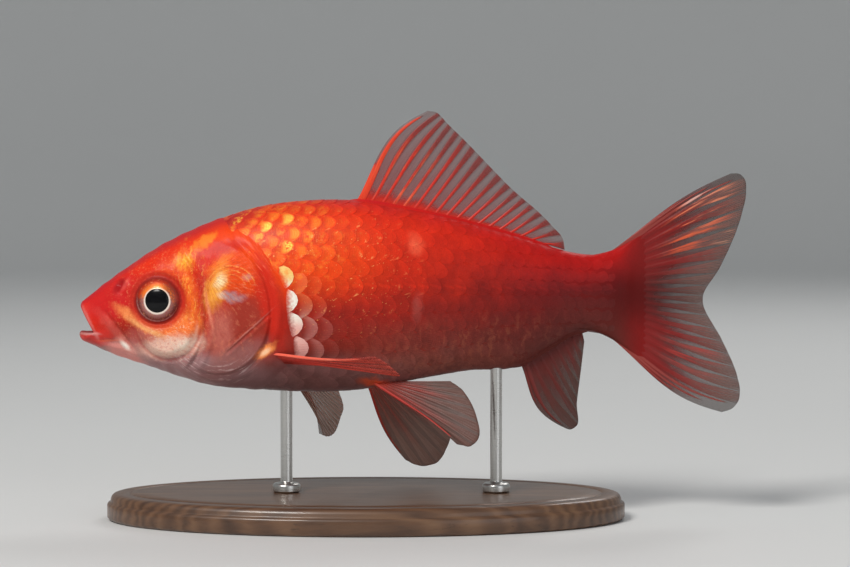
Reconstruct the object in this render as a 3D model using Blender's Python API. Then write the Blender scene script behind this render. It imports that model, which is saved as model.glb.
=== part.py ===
"""A young common goldfish, life size, as a still display model on a flat base with two short rods.

+X runs from the snout to the tail, +Y to the fish's right side and +Z up. The origin is the centre of
the base's underside. Lengths are in millimetres until a mesh is made, and a point on the fish is given
as its distance behind the snout, its distance to the right of the midline and its height above the eye.
"""

import bmesh
import bpy
import numpy as np

MM = 0.001

# Driving sizes
EYE_HEIGHT = 33.0  # the eye's centre above the floor
STAND_STATION = 43.0  # where the stand's centre is, behind the snout
GAP = 0.3  # between neighbouring pieces
AROUND = 28  # points round a section of the body
SWAY_START = 44.0  # behind this the tail swings gently to the right
SWAY = 2.2  # how far the tail's end has swung
SWAY_END = 100.0

# The body's sections: distance behind the snout, back, belly, half width, level of the greatest width,
# and how full the section is above and below that level (0 is an ellipse)
BODY = {
    "nostril": (6.0, 4.15, -8.45, 3.85, -2.4, 0.22, 0.12),
    "eye": (11.7, 7.95, -10.35, 5.55, -1.9, 0.24, 0.14),
    "nape": (18.2, 11.15, -12.45, 6.55, -1.6, 0.14, 0.16),
    "gill_edge": (26.5, 14.05, -13.5, 7.25, -1.0, 0.06, 0.20),
    "shoulder": (35.0, 15.15, -13.9, 7.5, 0.0, 0.04, 0.20),
    "fin_start": (41.7, 15.1, -13.65, 7.25, 0.3, 0.04, 0.18),
    "flank": (50.5, 13.65, -12.1, 6.45, 0.5, 0.04, 0.14),
    "belly_end": (58.5, 11.8, -10.75, 5.4, 0.7, 0.06, 0.10),
    "vent": (66.0, 9.65, -10.1, 4.3, 0.8, 0.08, 0.04),
    "anal_fin": (70.6, 8.2, -7.5, 3.6, 1.0, 0.10, 0.06),
    "stalk": (74.8, 7.15, -5.1, 2.85, 1.1, 0.12, 0.12),
    "narrowest": (77.3, 6.95, -4.95, 2.5, 1.15, 0.12, 0.12),
    "tail_base": (81.0, 8.0, -6.7, 1.95, 1.2, 0.12, 0.12),
}
HEAD_FRONT = 6.0  # the section where the snout's own shape begins
GILL_EDGE_SIDE = 29.9  # the back of the head at mid height
GILL_EDGE_RAKE = 5.6  # how much further forward it is at the nape and throat
NECK_DISH = 2.5  # how far the cut behind the head bulges forward at its middle
CORE_LEVEL = 0.5  # the level of the body's middle line
TRUNK_END = 66.0
STALK_END = 80.0

# The open mouth: the middle line of the lips, as (behind the snout, off the midline, above the eye)
UPPER_LIP = (0.46, 0.0, -0.55)
LOWER_LIP = (0.64, 0.0, -5.42)
MOUTH_CORNER = (2.75, 1.95, -4.8)
LIP_RADIUS = {"upper": 0.45, "corner": 0.5, "lower": 0.78}
THROAT = (5.6, 0.0, -4.5)
JAW_CORNER, JAW_HINGE = (2.45, -4.65), (8.6, -6.9)
GAPE_LEVEL = -2.8  # the height of the cut between the jaws, ahead of the lips
AHEAD, BELOW, BESIDE = -2.0, -12.0, 9.0  # places clear of the snout, the chin and the cheeks
UPPER_JAW_BROW, UPPER_JAW_BACK = (3.8, 4.5), (3.9, -4.2)

# Eyes and gill covers, on both sides
EYE_STATION = 12.15
EYE_LEVEL = 0.2
EYE_RADIUS = 3.6  # seen from the side
EYE_DEPTH = 2.5  # half its thickness, from side to side
EYE_PROUD = 0.75  # how far it stands out of the head
GILL_COVER = {"x": 23.5, "z": -1.7, "half_long": 5.2, "half_high": 9.0, "tilt": 0.07}
GILL_COVER_THICK = 1.2

FIN_TIP_THICK = 0.5

# Display stand
BASE_LONG, BASE_WIDE, BASE_THICK = 78.0, 44.0, 4.0
BASE_EDGE = 0.8  # the rounding of its rims
ROD_RADIUS = 0.9
COLLAR_RADIUS, COLLAR_HIGH = 2.1, 1.4
ROD_STATIONS = {"stand_rod_front": 31.0, "stand_rod_rear": 62.6}
ROD_IN_BASE, ROD_IN_FISH = 2.0, 3.2

COLOURS = {
    "skin": ((0.80, 0.09, 0.03), 0.32, 0.1),
    "fins": ((0.72, 0.10, 0.05), 0.38, 0.0),
    "eyes": ((0.05, 0.04, 0.04), 0.08, 0.0),
    "stand_wood": ((0.11, 0.06, 0.035), 0.45, 0.0),
    "stand_steel": ((0.62, 0.60, 0.57), 0.28, 1.0),
}


# ---------------------------------------------------------------- curves
def smooth_through(stations, values, at):
    """A cubic curve through the stations, whose slope at each comes from its two neighbours."""
    xs, ys = np.asarray(stations, float), np.asarray(values, float)
    step = np.diff(xs)
    shape = (-1,) + (1,) * (ys.ndim - 1)
    step_of = step.reshape(shape)
    rise = np.diff(ys, axis=0) / step_of
    slope = np.empty_like(ys)
    slope[0], slope[-1] = rise[0], rise[-1]
    slope[1:-1] = (rise[:-1] * step_of[1:] + rise[1:] * step_of[:-1]) / (step_of[1:] + step_of[:-1])
    at = np.asarray(at, float)
    i = np.clip(np.searchsorted(xs, at, side="right") - 1, 0, len(xs) - 2)
    wide = step[i]
    t = (at - xs[i]) / wide
    if ys.ndim > 1:
        t, wide = t[..., None], wide[..., None]
    start, end = ys[i], ys[i + 1]
    return (
        (1 + 2 * t) * (1 - t) ** 2 * start
        + t * (1 - t) ** 2 * wide * slope[i]
        + t**2 * (3 - 2 * t) * end
        + t**2 * (t - 1) * wide * slope[i + 1]
    )


def body_at(x):
    """Back, belly, half width, widest level and the two fullnesses of the body at a station."""
    table = np.array(list(BODY.values()))
    return np.moveaxis(smooth_through(table[:, 0], table[:, 1:], x), -1, 0)


def section(x, angle):
    """Points of the skin at station x; the angle is 0 at the back and grows over the left side."""
    back, belly, half, level, full_above, full_below = body_at(x)
    c, s = np.cos(angle), np.sin(angle)
    rise = np.where(c > 0, back - level, level - belly)
    full = np.where(c > 0, full_above, full_below)
    y = -half * s * (1 + full * c**2)
    return np.stack(np.broadcast_arrays(x, y, level + rise * c), axis=-1)


def skin_y(x, z):
    """How far the skin is from the midline at a point seen from the side."""
    back, belly, half, level, full_above, full_below = body_at(x)
    rise = np.where(z > level, back - level, level - belly)
    full = np.where(z > level, full_above, full_below)
    c = np.clip((z - level) / rise, -0.995, 0.995)
    return half * np.sqrt(1 - c**2) * (1 + full * c**2)


def sway(x):
    """How far the body has swung to the right at station x."""
    return SWAY * np.clip((x - SWAY_START) / (SWAY_END - SWAY_START), 0, None) ** 2


def placed(points, swings=True):
    """Fish points in millimetres as metres in the part's frame."""
    p = np.array(points, float)
    if swings:
        p[..., 1] += sway(p[..., 0])
    p[..., 0] -= STAND_STATION
    p[..., 2] += EYE_HEIGHT
    return p * MM


# ---------------------------------------------------------------- meshes
def material(name):
    colour, roughness, metallic = COLOURS[name]
    found = bpy.data.materials.get(name)
    if found is None:
        found = bpy.data.materials.new(name)
        found.use_nodes = True
        shader = found.node_tree.nodes["Principled BSDF"]
        shader.inputs["Base Color"].default_value = (*colour, 1)
        shader.inputs["Roughness"].default_value = roughness
        shader.inputs["Metallic"].default_value = metallic
    return found


def add_object(name, points, faces, look):
    """A mesh object from points in metres, its faces turned outwards."""
    mesh = bpy.data.meshes.new(name)
    mesh.from_pydata([tuple(p) for p in points], [], faces)
    shape = bmesh.new()
    shape.from_mesh(mesh)
    bmesh.ops.remove_doubles(shape, verts=shape.verts, dist=1e-7)
    bmesh.ops.recalc_face_normals(shape, faces=shape.faces)
    shape.to_mesh(mesh)
    shape.free()
    mesh.shade_smooth()
    mesh.materials.append(material(look))
    obj = bpy.data.objects.new(name, mesh)
    bpy.context.scene.collection.objects.link(obj)
    return obj


def ring_faces(count, around):
    """Faces joining rings of points, with a fan to the single points before and after them."""
    first, last = 0, 1 + count * around
    faces = []
    for j in range(around):
        k = (j + 1) % around
        faces.append((first, 1 + j, 1 + k))
        for i in range(count - 1):
            a, b = 1 + i * around, 1 + (i + 1) * around
            faces.append((a + j, b + j, b + k, a + k))
        end = 1 + (count - 1) * around
        faces.append((end + j, last, end + k))
    return faces


def ring_solid(name, start, rings, end, look, swings=True):
    """A closed solid from a start point, rings of points and an end point."""
    points = np.concatenate([[start], np.concatenate(rings), [end]])
    return add_object(name, placed(points, swings), ring_faces(len(rings), len(rings[0])), look)


def plate_solid(name, one_side, other_side, look):
    """A closed plate from two grids of points that face each other."""
    rows, columns = one_side.shape[:2]
    index = np.arange(rows * columns).reshape(rows, columns)
    faces = []
    for sheet in (index, index + rows * columns):
        for i in range(rows - 1):
            for j in range(columns - 1):
                corners = (sheet[i, j], sheet[i + 1, j], sheet[i + 1, j + 1], sheet[i, j + 1])
                faces.append(tuple(int(n) for n in corners))
    rim = [*index[0], *index[1:, -1], *index[-1, -2::-1], *index[-2:0:-1, 0]]
    for a, b in zip(rim, rim[1:] + rim[:1]):
        faces.append((int(a), int(b), int(b) + rows * columns, int(a) + rows * columns))
    points = np.concatenate([one_side.reshape(-1, 3), other_side.reshape(-1, 3)])
    return add_object(name, placed(points), faces, look)


def helper(obj):
    """Marks a cutter, which isn't a piece."""
    obj.hide_render = True
    obj.display_type = "WIRE"
    return obj


def cut(obj, *cutters, keep=False):
    """Removes each cutter's space from obj or, with keep, everything outside it."""
    for cutter in cutters:
        boolean = obj.modifiers.new("cut", "BOOLEAN")
        boolean.operation = "INTERSECT" if keep else "DIFFERENCE"
        boolean.object = cutter


# ---------------------------------------------------------------- body
def gill_edge(angle):
    """The station where the head ends, further forward at the nape and the throat."""
    return GILL_EDGE_SIDE - GILL_EDGE_RAKE * np.cos(angle) ** 2


def round_angles():
    return np.arange(AROUND) * 2 * np.pi / AROUND


def lip_line(angle):
    """The lips' middle line, their outward and forward directions and their radius."""
    c, s = np.cos(angle)[:, None], np.sin(angle)[:, None]
    upper = c > 0
    tip = np.where(upper, UPPER_LIP, LOWER_LIP)
    corner = np.array(MOUTH_CORNER) * [1, 0, 1]
    middle = corner + (tip - corner) * np.abs(c)
    middle[:, 1:2] = -MOUTH_CORNER[1] * s
    outward = np.concatenate([np.zeros_like(c), -s, c], axis=1)
    dip = np.where(upper, -0.75 * c, -0.4 * c)
    forward = np.concatenate([-np.ones_like(c), np.zeros_like(c), dip], axis=1)
    forward /= np.linalg.norm(forward, axis=1, keepdims=True)
    tip_radius = np.where(upper, LIP_RADIUS["upper"], LIP_RADIUS["lower"])
    radius = LIP_RADIUS["corner"] + (tip_radius - LIP_RADIUS["corner"]) * np.abs(c)
    return middle, outward, forward, radius


def snout_rings(steps=5, roll_steps=3, mouth_steps=3):
    """Rings from inside the mouth, over the lips, to the section where the snout begins."""
    angle = round_angles()
    middle, outward, forward, radius = lip_line(angle)
    rings = []
    for t in np.linspace(1, 0, mouth_steps, endpoint=False)[1:]:
        inner = middle - radius * outward
        closing = np.sqrt(1 - t**2)
        rings.append(np.array(THROAT) + (inner - np.array(THROAT)) * [[1 - t, closing, closing]])
    for roll in np.linspace(np.pi, 0, roll_steps + 2):
        rings.append(middle + radius * (np.cos(roll) * outward + np.sin(roll) * forward))
    lip = rings[-1]
    root = section(np.full(AROUND, HEAD_FRONT), angle)
    ahead = section(np.full(AROUND, HEAD_FRONT + 0.5), angle)
    reach = np.linalg.norm(root - lip, axis=1, keepdims=True)
    lead_in = -forward * reach * 0.7
    lead_out = (ahead - root) * 2 * reach * 0.9
    for t in np.linspace(0, 1, steps + 1)[1:]:
        rings.append(
            (1 + 2 * t) * (1 - t) ** 2 * lip
            + t * (1 - t) ** 2 * lead_in
            + t**2 * (3 - 2 * t) * root
            + t**2 * (t - 1) * lead_out
        )
    return rings


def make_head():
    """The whole head with its mouth, before the jaws, sockets and gill pockets are cut."""
    angle = round_angles()
    rings = snout_rings()
    for t in np.linspace(0, 1, 11)[1:]:
        rings.append(section(HEAD_FRONT + t * (gill_edge(angle) - HEAD_FRONT), angle))
    middle = np.array([GILL_EDGE_SIDE - NECK_DISH, 0.0, CORE_LEVEL])
    rings.append((middle + rings[-1]) / 2)
    return ring_solid("head", THROAT, rings, middle, "skin")


def make_length(name, start, end, steps, dish):
    """A length of the body between two sections, its front face dished towards the head."""
    angle = round_angles()
    start, end = np.broadcast_to(start, angle.shape), np.broadcast_to(end, angle.shape)
    rings = [section(start + t * (end - start), angle) for t in np.linspace(0, 1, steps + 1)]
    front = np.array([start.max() - dish, 0.0, CORE_LEVEL])
    rings.insert(0, (front + rings[0]) / 2)
    return ring_solid(name, front, rings, (end.max(), 0.0, CORE_LEVEL), "skin")


def prism(name, outline):
    """A cutter with an outline seen from the side, across the whole fish."""
    flat = np.array([(x, 0.0, z) for x, z in outline])
    left, right = flat - [0, BESIDE, 0], flat + [0, BESIDE, 0]
    count = len(flat)
    faces = [tuple(range(count)), tuple(range(2 * count - 1, count - 1, -1))]
    faces += [(i, (i + 1) % count, (i + 1) % count + count, i + count) for i in range(count)]
    return helper(add_object(name, placed(np.concatenate([left, right])), faces, "skin"))


def jaw_outlines(grow):
    """The spaces of the lower and the upper jaw seen from the side, grown towards the head."""
    corner, hinge = np.array(JAW_CORNER), np.array(JAW_HINGE)
    up = np.array([0.0, GAP / 2 - grow])
    gape = np.array([AHEAD, GAPE_LEVEL])
    (brow_x, brow_z), (back_x, back_z) = UPPER_JAW_BROW, UPPER_JAW_BACK
    edge, top = hinge[0] + 1 + grow, brow_z + grow
    lower = [corner - up, gape - up, (AHEAD, BELOW), (edge, BELOW), hinge - up]
    upper = [corner + up, gape + up, (AHEAD, top), (brow_x + grow, top), (back_x + grow, back_z)]
    return {"lower_jaw": lower, "upper_jaw": upper}


def cut_jaws(head):
    """Parts the two jaws from the head along thin cuts that meet at the mouth's corner."""
    for name in ("lower_jaw", "upper_jaw"):
        jaw = make_head()
        jaw.name = name
        cut(jaw, prism(name + "_space", jaw_outlines(0.0)[name]), keep=True)
        cut(head, prism(name + "_cutter", jaw_outlines(GAP)[name]))


# ---------------------------------------------------------------- eyes and gill covers
def eye_centre(side):
    proud = float(skin_y(EYE_STATION, EYE_LEVEL)) + EYE_PROUD
    return np.array([EYE_STATION, side * (proud - EYE_DEPTH), EYE_LEVEL])


def eyeball(name, side, grow, look, rings=9, around=20):
    """An eyeball, flattened from side to side; grow makes it larger all round."""
    centre = eye_centre(side)
    radius, depth = EYE_RADIUS + grow, EYE_DEPTH + grow
    roll = np.arange(around) * 2 * np.pi / around
    circle = np.stack([radius * np.cos(roll), np.zeros(around), radius * np.sin(roll)], axis=1)
    pole = np.array([0, depth, 0])
    tilts = np.linspace(0, np.pi, rings + 2)[1:-1]
    points = [centre + circle * np.sin(tilt) + pole * np.cos(tilt) for tilt in tilts]
    return ring_solid(name, centre + pole, points, centre - pole, look)


def gill_plate(name, side, grow, inner, outer, look):
    """A plate with the gill cover's outline, from depth inner to height outer of the skin."""
    g = GILL_COVER
    share = np.linspace(0, 1, 5)[:, None]
    turn = np.arange(24)[None, :] * 2 * np.pi / 24
    long = (g["half_long"] + grow) * share * np.cos(turn)
    high = (g["half_high"] + grow) * share * np.sin(turn)
    x = g["x"] + long * np.cos(g["tilt"]) - high * np.sin(g["tilt"])
    z = g["z"] + long * np.sin(g["tilt"]) + high * np.cos(g["tilt"])
    y = skin_y(x, z)
    top = np.stack([x, side * (y + outer), z], axis=-1)
    under = np.stack([x, side * (y - inner), z], axis=-1)
    rings = [*top[1:], *under[:0:-1]]
    return ring_solid(name, top[0, 0], rings, under[0, 0], look)


# ---------------------------------------------------------------- fins
def fin_plate(name, base, margin, lead_bow=(0, 0, 0), trail_bow=(0, 0, 0), bow_reach=0.12,
              root_thick=1.2, columns=14, rows=6, thick_at=None):
    """A thin plate whose rays run from the base line to the margin.

    base and margin give points against the share of the way from the leading to the trailing ray. The
    bows push the first and last rays out of straight, and their neighbours within reach.
    """
    a = np.linspace(0, 1, columns)
    r = np.linspace(0, 1, rows)[None, :, None]
    root = smooth_through(list(base), list(base.values()), a)[:, None, :]
    tip = smooth_through(list(margin), list(margin.values()), a)[:, None, :]
    near_lead = np.exp(-((a / bow_reach) ** 2))[:, None, None]
    near_trail = np.exp(-(((1 - a) / bow_reach) ** 2))[:, None, None]
    swell = np.sin(np.pi * r**1.3)
    bow = near_lead * np.array(lead_bow) + near_trail * np.array(trail_bow)
    middle = root + (tip - root) * r + swell * bow
    across, along = np.gradient(middle, axis=0), np.gradient(middle, axis=1)
    normal = np.cross(across, along)
    normal /= np.linalg.norm(normal, axis=2, keepdims=True)
    if thick_at is None:
        thick = root_thick + (FIN_TIP_THICK - root_thick) * np.sqrt(r)
    else:
        thick = thick_at(a[:, None, None], r)
    plate_solid(name, middle + normal * thick / 2, middle - normal * thick / 2, "fins")


def back_line(x):
    return (x, 0.0, float(body_at(x)[0]) + GAP)


def belly_line(x):
    return (x, 0.0, float(body_at(x)[1]) - GAP)


def make_dorsal_fin():
    first, last = 41.7, 69.9
    base = {t: back_line(first + t * (last - first)) for t in (0.0, 0.25, 0.5, 0.75, 1.0)}
    margin = {
        0.0: (52.9, 0, 28.35),
        0.165: (54.7, 0, 27.0),
        0.30: (57.6, 0, 24.3),
        0.60: (64.5, 0, 17.2),
        0.90: (70.6, 0, 11.6),
        1.0: (72.9, 0, 8.1),
    }
    fin_plate("dorsal_fin", base, margin, lead_bow=(-1.35, 0, 1.25), root_thick=1.4, columns=16)


def make_anal_fin():
    base = {t: belly_line(66.4 + t * 9.2) for t in (0.0, 0.5, 1.0)}
    margin = {
        0.0: (72.9, 0, -19.2),
        0.16: (74.6, 0, -19.3),
        0.45: (74.8, 0, -15.5),
        0.75: (75.4, 0, -10.6),
        1.0: (75.9, 0, -6.3),
    }
    fin_plate("anal_fin", base, margin, lead_bow=(-1.25, 0, -0.75), bow_reach=0.2, columns=12)


def make_tail_fin():
    """The forked tail fin, as thick as the tail stalk where it starts."""
    top, bottom, half = (float(n) for n in body_at(STALK_END)[:3])
    start = STALK_END + GAP
    base = {0.0: (start, 0, top), 0.5: (start, 0, (top + bottom) / 2), 1.0: (start, 0, bottom)}
    margin = {
        0.0: (98.2, 0, 19.05),
        0.06: (99.9, 0, 17.8),
        0.18: (99.0, 0, 12.4),
        0.34: (96.0, 0, 4.8),
        0.47: (93.6, 0, 0.0),
        0.53: (93.6, 0, -1.2),
        0.68: (96.6, 0, -6.0),
        0.84: (98.9, 0, -12.4),
        0.94: (99.0, 0, -15.6),
        1.0: (97.0, 0, -17.0),
    }

    def thick_at(a, r):
        root = 2 * half * np.sqrt(np.clip(1 - (2 * a - 1) ** 2, 0.06, 1))
        return FIN_TIP_THICK + (root - FIN_TIP_THICK) * np.exp(-((r / 0.3) ** 2))

    bows = {"lead_bow": (-0.45, 0, 0.75), "trail_bow": (-0.75, 0, -1.35), "bow_reach": 0.2}
    fin_plate("tail_fin", base, margin, **bows, columns=23, rows=7, thick_at=thick_at)


def make_paired_fins():
    """The pectoral and pelvic fins: the left pectoral is held level and the right one hangs."""
    fin_plate(
        "pectoral_fin_left",
        {0.0: (28.95, -7.3, -7.6), 1.0: (30.3, -7.0, -9.2)},
        {
            0.0: (46.2, -15.2, -7.5),
            0.15: (47.3, -14.6, -8.1),
            0.4: (47.7, -12.6, -9.9),
            0.75: (45.1, -10.2, -9.5),
            1.0: (41.1, -8.7, -9.3),
        },
        lead_bow=(-0.6, -0.9, -0.5),
        columns=11,
    )
    fin_plate(
        "pectoral_fin_right",
        {0.0: (29.0, 7.3, -8.1), 1.0: (30.4, 7.0, -9.7)},
        {
            0.0: (35.3, 16.0, -21.7),
            0.15: (36.5, 16.5, -22.2),
            0.35: (37.7, 16.0, -21.6),
            0.6: (38.7, 14.0, -19.1),
            0.85: (39.2, 11.5, -16.7),
            1.0: (38.5, 9.8, -14.3),
        },
        lead_bow=(1.2, 0.3, 0.7),
        columns=11,
    )
    fin_plate(
        "pelvic_fin_left",
        {0.0: (44.7, -4.3, -12.75), 1.0: (47.2, -2.3, -13.1)},
        {
            0.0: (56.6, -8.6, -20.9),
            0.15: (58.6, -8.5, -21.2),
            0.3: (59.9, -8.0, -19.8),
            0.5: (59.4, -6.5, -16.6),
            0.75: (57.7, -4.6, -13.5),
            1.0: (55.7, -3.2, -12.0),
        },
        lead_bow=(0.3, -0.3, 0.35),
        columns=12,
    )
    fin_plate(
        "pelvic_fin_right",
        {0.0: (43.2, 4.2, -13.1), 1.0: (46.2, 2.3, -13.4)},
        {
            0.0: (48.9, 8.6, -25.1),
            0.15: (51.1, 8.9, -26.0),
            0.3: (53.5, 8.7, -25.6),
            0.5: (55.2, 8.0, -23.2),
            0.75: (56.2, 6.0, -18.8),
            1.0: (55.1, 3.9, -15.0),
        },
        lead_bow=(-0.95, 0.3, -0.2),
        columns=12,
    )


# ---------------------------------------------------------------- stand
def make_base(around=48):
    """A flat oval base with rounded rims."""
    turn = np.arange(around) * 2 * np.pi / around
    oval = np.stack([np.cos(turn) * BASE_LONG / 2, np.sin(turn) * BASE_WIDE / 2], axis=1)
    points = [(x, y, z) for z in (0.0, BASE_THICK) for x, y in oval]
    faces = [tuple(range(around)), tuple(range(around, 2 * around))]
    faces += [(i, (i + 1) % around, (i + 1) % around + around, i + around) for i in range(around)]
    base = add_object("stand_base", np.array(points) * MM, faces, "stand_wood")
    bevel = base.modifiers.new("rims", "BEVEL")
    bevel.width = BASE_EDGE * MM
    bevel.segments = 2
    bevel.limit_method = "ANGLE"
    return base


def turned(name, station, profile, look, around=16):
    """A round piece standing on the midline, from its radii and heights above the floor, foot first."""
    turn = np.arange(around) * 2 * np.pi / around
    rings = [
        np.stack([station + r * np.cos(turn), r * np.sin(turn), np.full(around, z - EYE_HEIGHT)], axis=1)
        for r, z in profile
    ]
    low, high = profile[0][1] - EYE_HEIGHT, profile[-1][1] - EYE_HEIGHT
    obj = ring_solid(name, (station, 0, low), rings, (station, 0, high), look, swings=False)
    obj.data.set_sharp_from_angle(angle=np.radians(40))
    return obj


def make_rods(base, trunk):
    """Two rods, each in a hole in the base and a hole in the belly, with a collar on the base."""
    for name, station in ROD_STATIONS.items():
        belly = EYE_HEIGHT + float(body_at(station)[1])
        foot, top = BASE_THICK - ROD_IN_BASE, belly + ROD_IN_FISH
        seat = BASE_THICK + GAP
        profile = [
            (ROD_RADIUS, foot),
            (ROD_RADIUS, seat),
            (COLLAR_RADIUS - 0.3, seat),
            (COLLAR_RADIUS, seat + 0.3),
            (COLLAR_RADIUS, seat + COLLAR_HIGH - 0.5),
            (COLLAR_RADIUS - 0.5, seat + COLLAR_HIGH),
            (ROD_RADIUS, seat + COLLAR_HIGH),
            (ROD_RADIUS, top),
        ]
        turned(name, station, profile, "stand_steel")
        hole = ROD_RADIUS + GAP
        foot_hole = turned(name + "_foot_hole", station, [(hole, foot - GAP), (hole, seat)], "skin")
        belly_hole = turned(name + "_belly_hole", station, [(hole, belly - 2), (hole, top + GAP)], "skin")
        cut(base, helper(foot_hole))
        cut(trunk, helper(belly_hole))


# ---------------------------------------------------------------- assembly
def main():
    for obj in list(bpy.data.objects):
        bpy.data.objects.remove(obj)
    head = make_head()
    cut_jaws(head)
    trunk = make_length("trunk", gill_edge(round_angles()) + GAP, TRUNK_END, 13, NECK_DISH)
    make_length("tail_stalk", TRUNK_END + GAP, STALK_END, 6, 0.0)
    for side, where in ((-1, "left"), (1, "right")):
        eyeball("eye_" + where, side, 0.0, "eyes")
        socket = eyeball("socket_" + where, side, GAP, "skin")
        gill_plate("gill_cover_" + where, side, -GAP / 2, GILL_COVER_THICK, 0.0, "skin")
        pocket = gill_plate("pocket_" + where, side, GAP / 2, GILL_COVER_THICK + GAP, 2.0, "skin")
        cut(head, helper(socket), helper(pocket))
    make_dorsal_fin()
    make_anal_fin()
    make_tail_fin()
    make_paired_fins()
    make_rods(make_base(), trunk)


main()
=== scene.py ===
import bmesh
import bpy
import numpy as np
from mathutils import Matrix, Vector


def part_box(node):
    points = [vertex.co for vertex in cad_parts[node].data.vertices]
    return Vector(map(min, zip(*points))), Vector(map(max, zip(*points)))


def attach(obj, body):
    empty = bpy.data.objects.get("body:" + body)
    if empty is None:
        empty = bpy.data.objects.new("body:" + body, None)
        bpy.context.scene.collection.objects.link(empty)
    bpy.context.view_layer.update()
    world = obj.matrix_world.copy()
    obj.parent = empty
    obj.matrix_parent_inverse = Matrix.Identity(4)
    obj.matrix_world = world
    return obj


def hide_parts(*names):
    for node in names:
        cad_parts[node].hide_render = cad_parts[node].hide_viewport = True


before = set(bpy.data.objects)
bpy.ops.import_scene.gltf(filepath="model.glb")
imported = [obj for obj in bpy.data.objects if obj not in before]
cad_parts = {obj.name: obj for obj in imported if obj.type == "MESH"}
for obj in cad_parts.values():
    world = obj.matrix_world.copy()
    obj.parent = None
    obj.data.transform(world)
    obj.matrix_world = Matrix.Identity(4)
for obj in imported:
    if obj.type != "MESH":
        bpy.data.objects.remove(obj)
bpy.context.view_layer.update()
print("frame loaded:", len(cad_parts), "nodes")

# Lengths are in millimetres until a mesh is made. A point on the fish is given as its distance behind the
# snout, its distance to the right of the midline and its height above the eye's level.
mm = 0.001
eye = {
    "station": 12.15,
    "level": 0.2,
    "radius": 3.9,  # of the whole ball, most of it under the skin
    "depth": 2.5,  # half its thickness
    "proud": 0.75,  # how far it stands out of the skin
    "open": 3.36,  # radius that the lids leave bare
    "turnForward": 0.16,  # slopes of the outer side
    "turnUp": -0.06,
    "pupil": 1.78,
    "lens": (0.10, 0.25, 0.05),  # how far the lens stands out, fading from inside to past the pupil's rim
    "irisRing": (0.05, 2.05, 0.16),  # a low ring round the lens: height, radius and half width
    "lids": (0.13, 4.25, 0.33),  # the same of the skin's ring round the opening
    "lidsBlend": (3.5, 5.0),  # radii between which the lids pass into the head
    "rings": 64,
    "around": 96,
}
lowEye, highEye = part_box("eye_left")
standStation = eye["station"] - (lowEye.x + highEye.x) / 2 / mm
eyeHeight = (lowEye.z + highEye.z) / 2 / mm - eye["level"]
swing = {"start": 44.0, "end": 100.0, "reach": 2.2}  # the tail's gentle bend to the right


# curves, and the body's form from them
def smoothThrough(stations, values, at):
    # a cubic through the stations, with the slope at each a weighted mean of its neighbours' slopes
    xs, ys = np.asarray(stations, float), np.asarray(values, float)
    step = np.diff(xs)
    stepOf = step.reshape((-1,) + (1,) * (ys.ndim - 1))
    rise = np.diff(ys, axis=0) / stepOf
    slope = np.empty_like(ys)
    slope[0], slope[-1] = rise[0], rise[-1]
    slope[1:-1] = (rise[:-1] * stepOf[1:] + rise[1:] * stepOf[:-1]) / (stepOf[1:] + stepOf[:-1])
    at = np.asarray(at, float)
    i = np.clip(np.searchsorted(xs, at, side="right") - 1, 0, len(xs) - 2)
    wide = step[i]
    t = (at - xs[i]) / wide
    if ys.ndim > 1:
        t, wide = t[..., None], wide[..., None]
    fromStart = (1 + 2 * t) * (1 - t) ** 2 * ys[i] + t * (1 - t) ** 2 * wide * slope[i]
    fromEnd = t**2 * (3 - 2 * t) * ys[i + 1] + t**2 * (t - 1) * wide * slope[i + 1]
    return fromStart + fromEnd


def through(table, at):
    # the same from a table of station to value
    return smoothThrough(list(table), list(table.values()), at)


def softStep(low, high, value):
    # 0 up to low, 1 from high, and a smooth rise between them
    t = np.clip((value - low) / (high - low), 0, 1)
    return t * t * (3 - 2 * t)


def hump(value, middle, wide):
    # a bell of height 1
    return np.exp(-(((value - middle) / wide) ** 2))


def ridge(value, shape):
    # a bell with a height, a middle and a half width of its own
    high, middle, wide = shape
    return high * hump(value, middle, wide)


# distance behind the snout: back, belly, half width, level of the greatest width, fullness above and below
bodyStations = {
    6.0: (4.15, -8.45, 3.85, -2.4, 0.22, 0.12),
    11.7: (7.95, -10.35, 5.55, -1.9, 0.24, 0.14),
    18.2: (11.15, -12.45, 6.55, -1.6, 0.14, 0.16),
    26.5: (14.05, -13.5, 7.25, -1.0, 0.06, 0.20),
    35.0: (15.15, -13.9, 7.5, 0.0, 0.04, 0.20),
    41.7: (15.1, -13.65, 7.25, 0.3, 0.04, 0.18),
    50.5: (13.65, -12.1, 6.45, 0.5, 0.04, 0.14),
    58.5: (11.8, -10.75, 5.4, 0.7, 0.06, 0.10),
    66.0: (9.65, -10.1, 4.3, 0.8, 0.08, 0.04),
    70.6: (8.2, -7.5, 3.6, 1.0, 0.10, 0.06),
    74.8: (7.15, -5.1, 2.85, 1.1, 0.12, 0.12),
    77.3: (6.95, -4.95, 2.5, 1.15, 0.12, 0.12),
    79.5: (7.45, -5.85, 2.05, 1.2, 0.12, 0.12),
    81.5: (8.2, -6.95, 1.35, 1.2, 0.06, 0.06),
    83.5: (9.3, -8.3, 0.55, 0.9, 0.0, 0.0),
    85.2: (10.4, -9.6, 0.02, 0.6, 0.0, 0.0),
}
headFront = min(bodyStations)  # the section where the snout's own shape begins
fleshEnd = max(bodyStations)  # the flesh thins out between the tail fin's rays


def bodyAt(x):
    return np.moveaxis(through(bodyStations, x), -1, 0)


def section(x, angle):
    # an oval with its own upper and lower height; the angle is 0 at the back and grows over the left side
    back, belly, half, level, fullAbove, fullBelow = bodyAt(x)
    c, s = np.cos(angle), np.sin(angle)
    rise = np.where(c > 0, back - level, level - belly)
    full = np.where(c > 0, fullAbove, fullBelow)
    y = -half * s * (1 + full * c**2)
    return pointsOf(x, y, level + rise * c)


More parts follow.
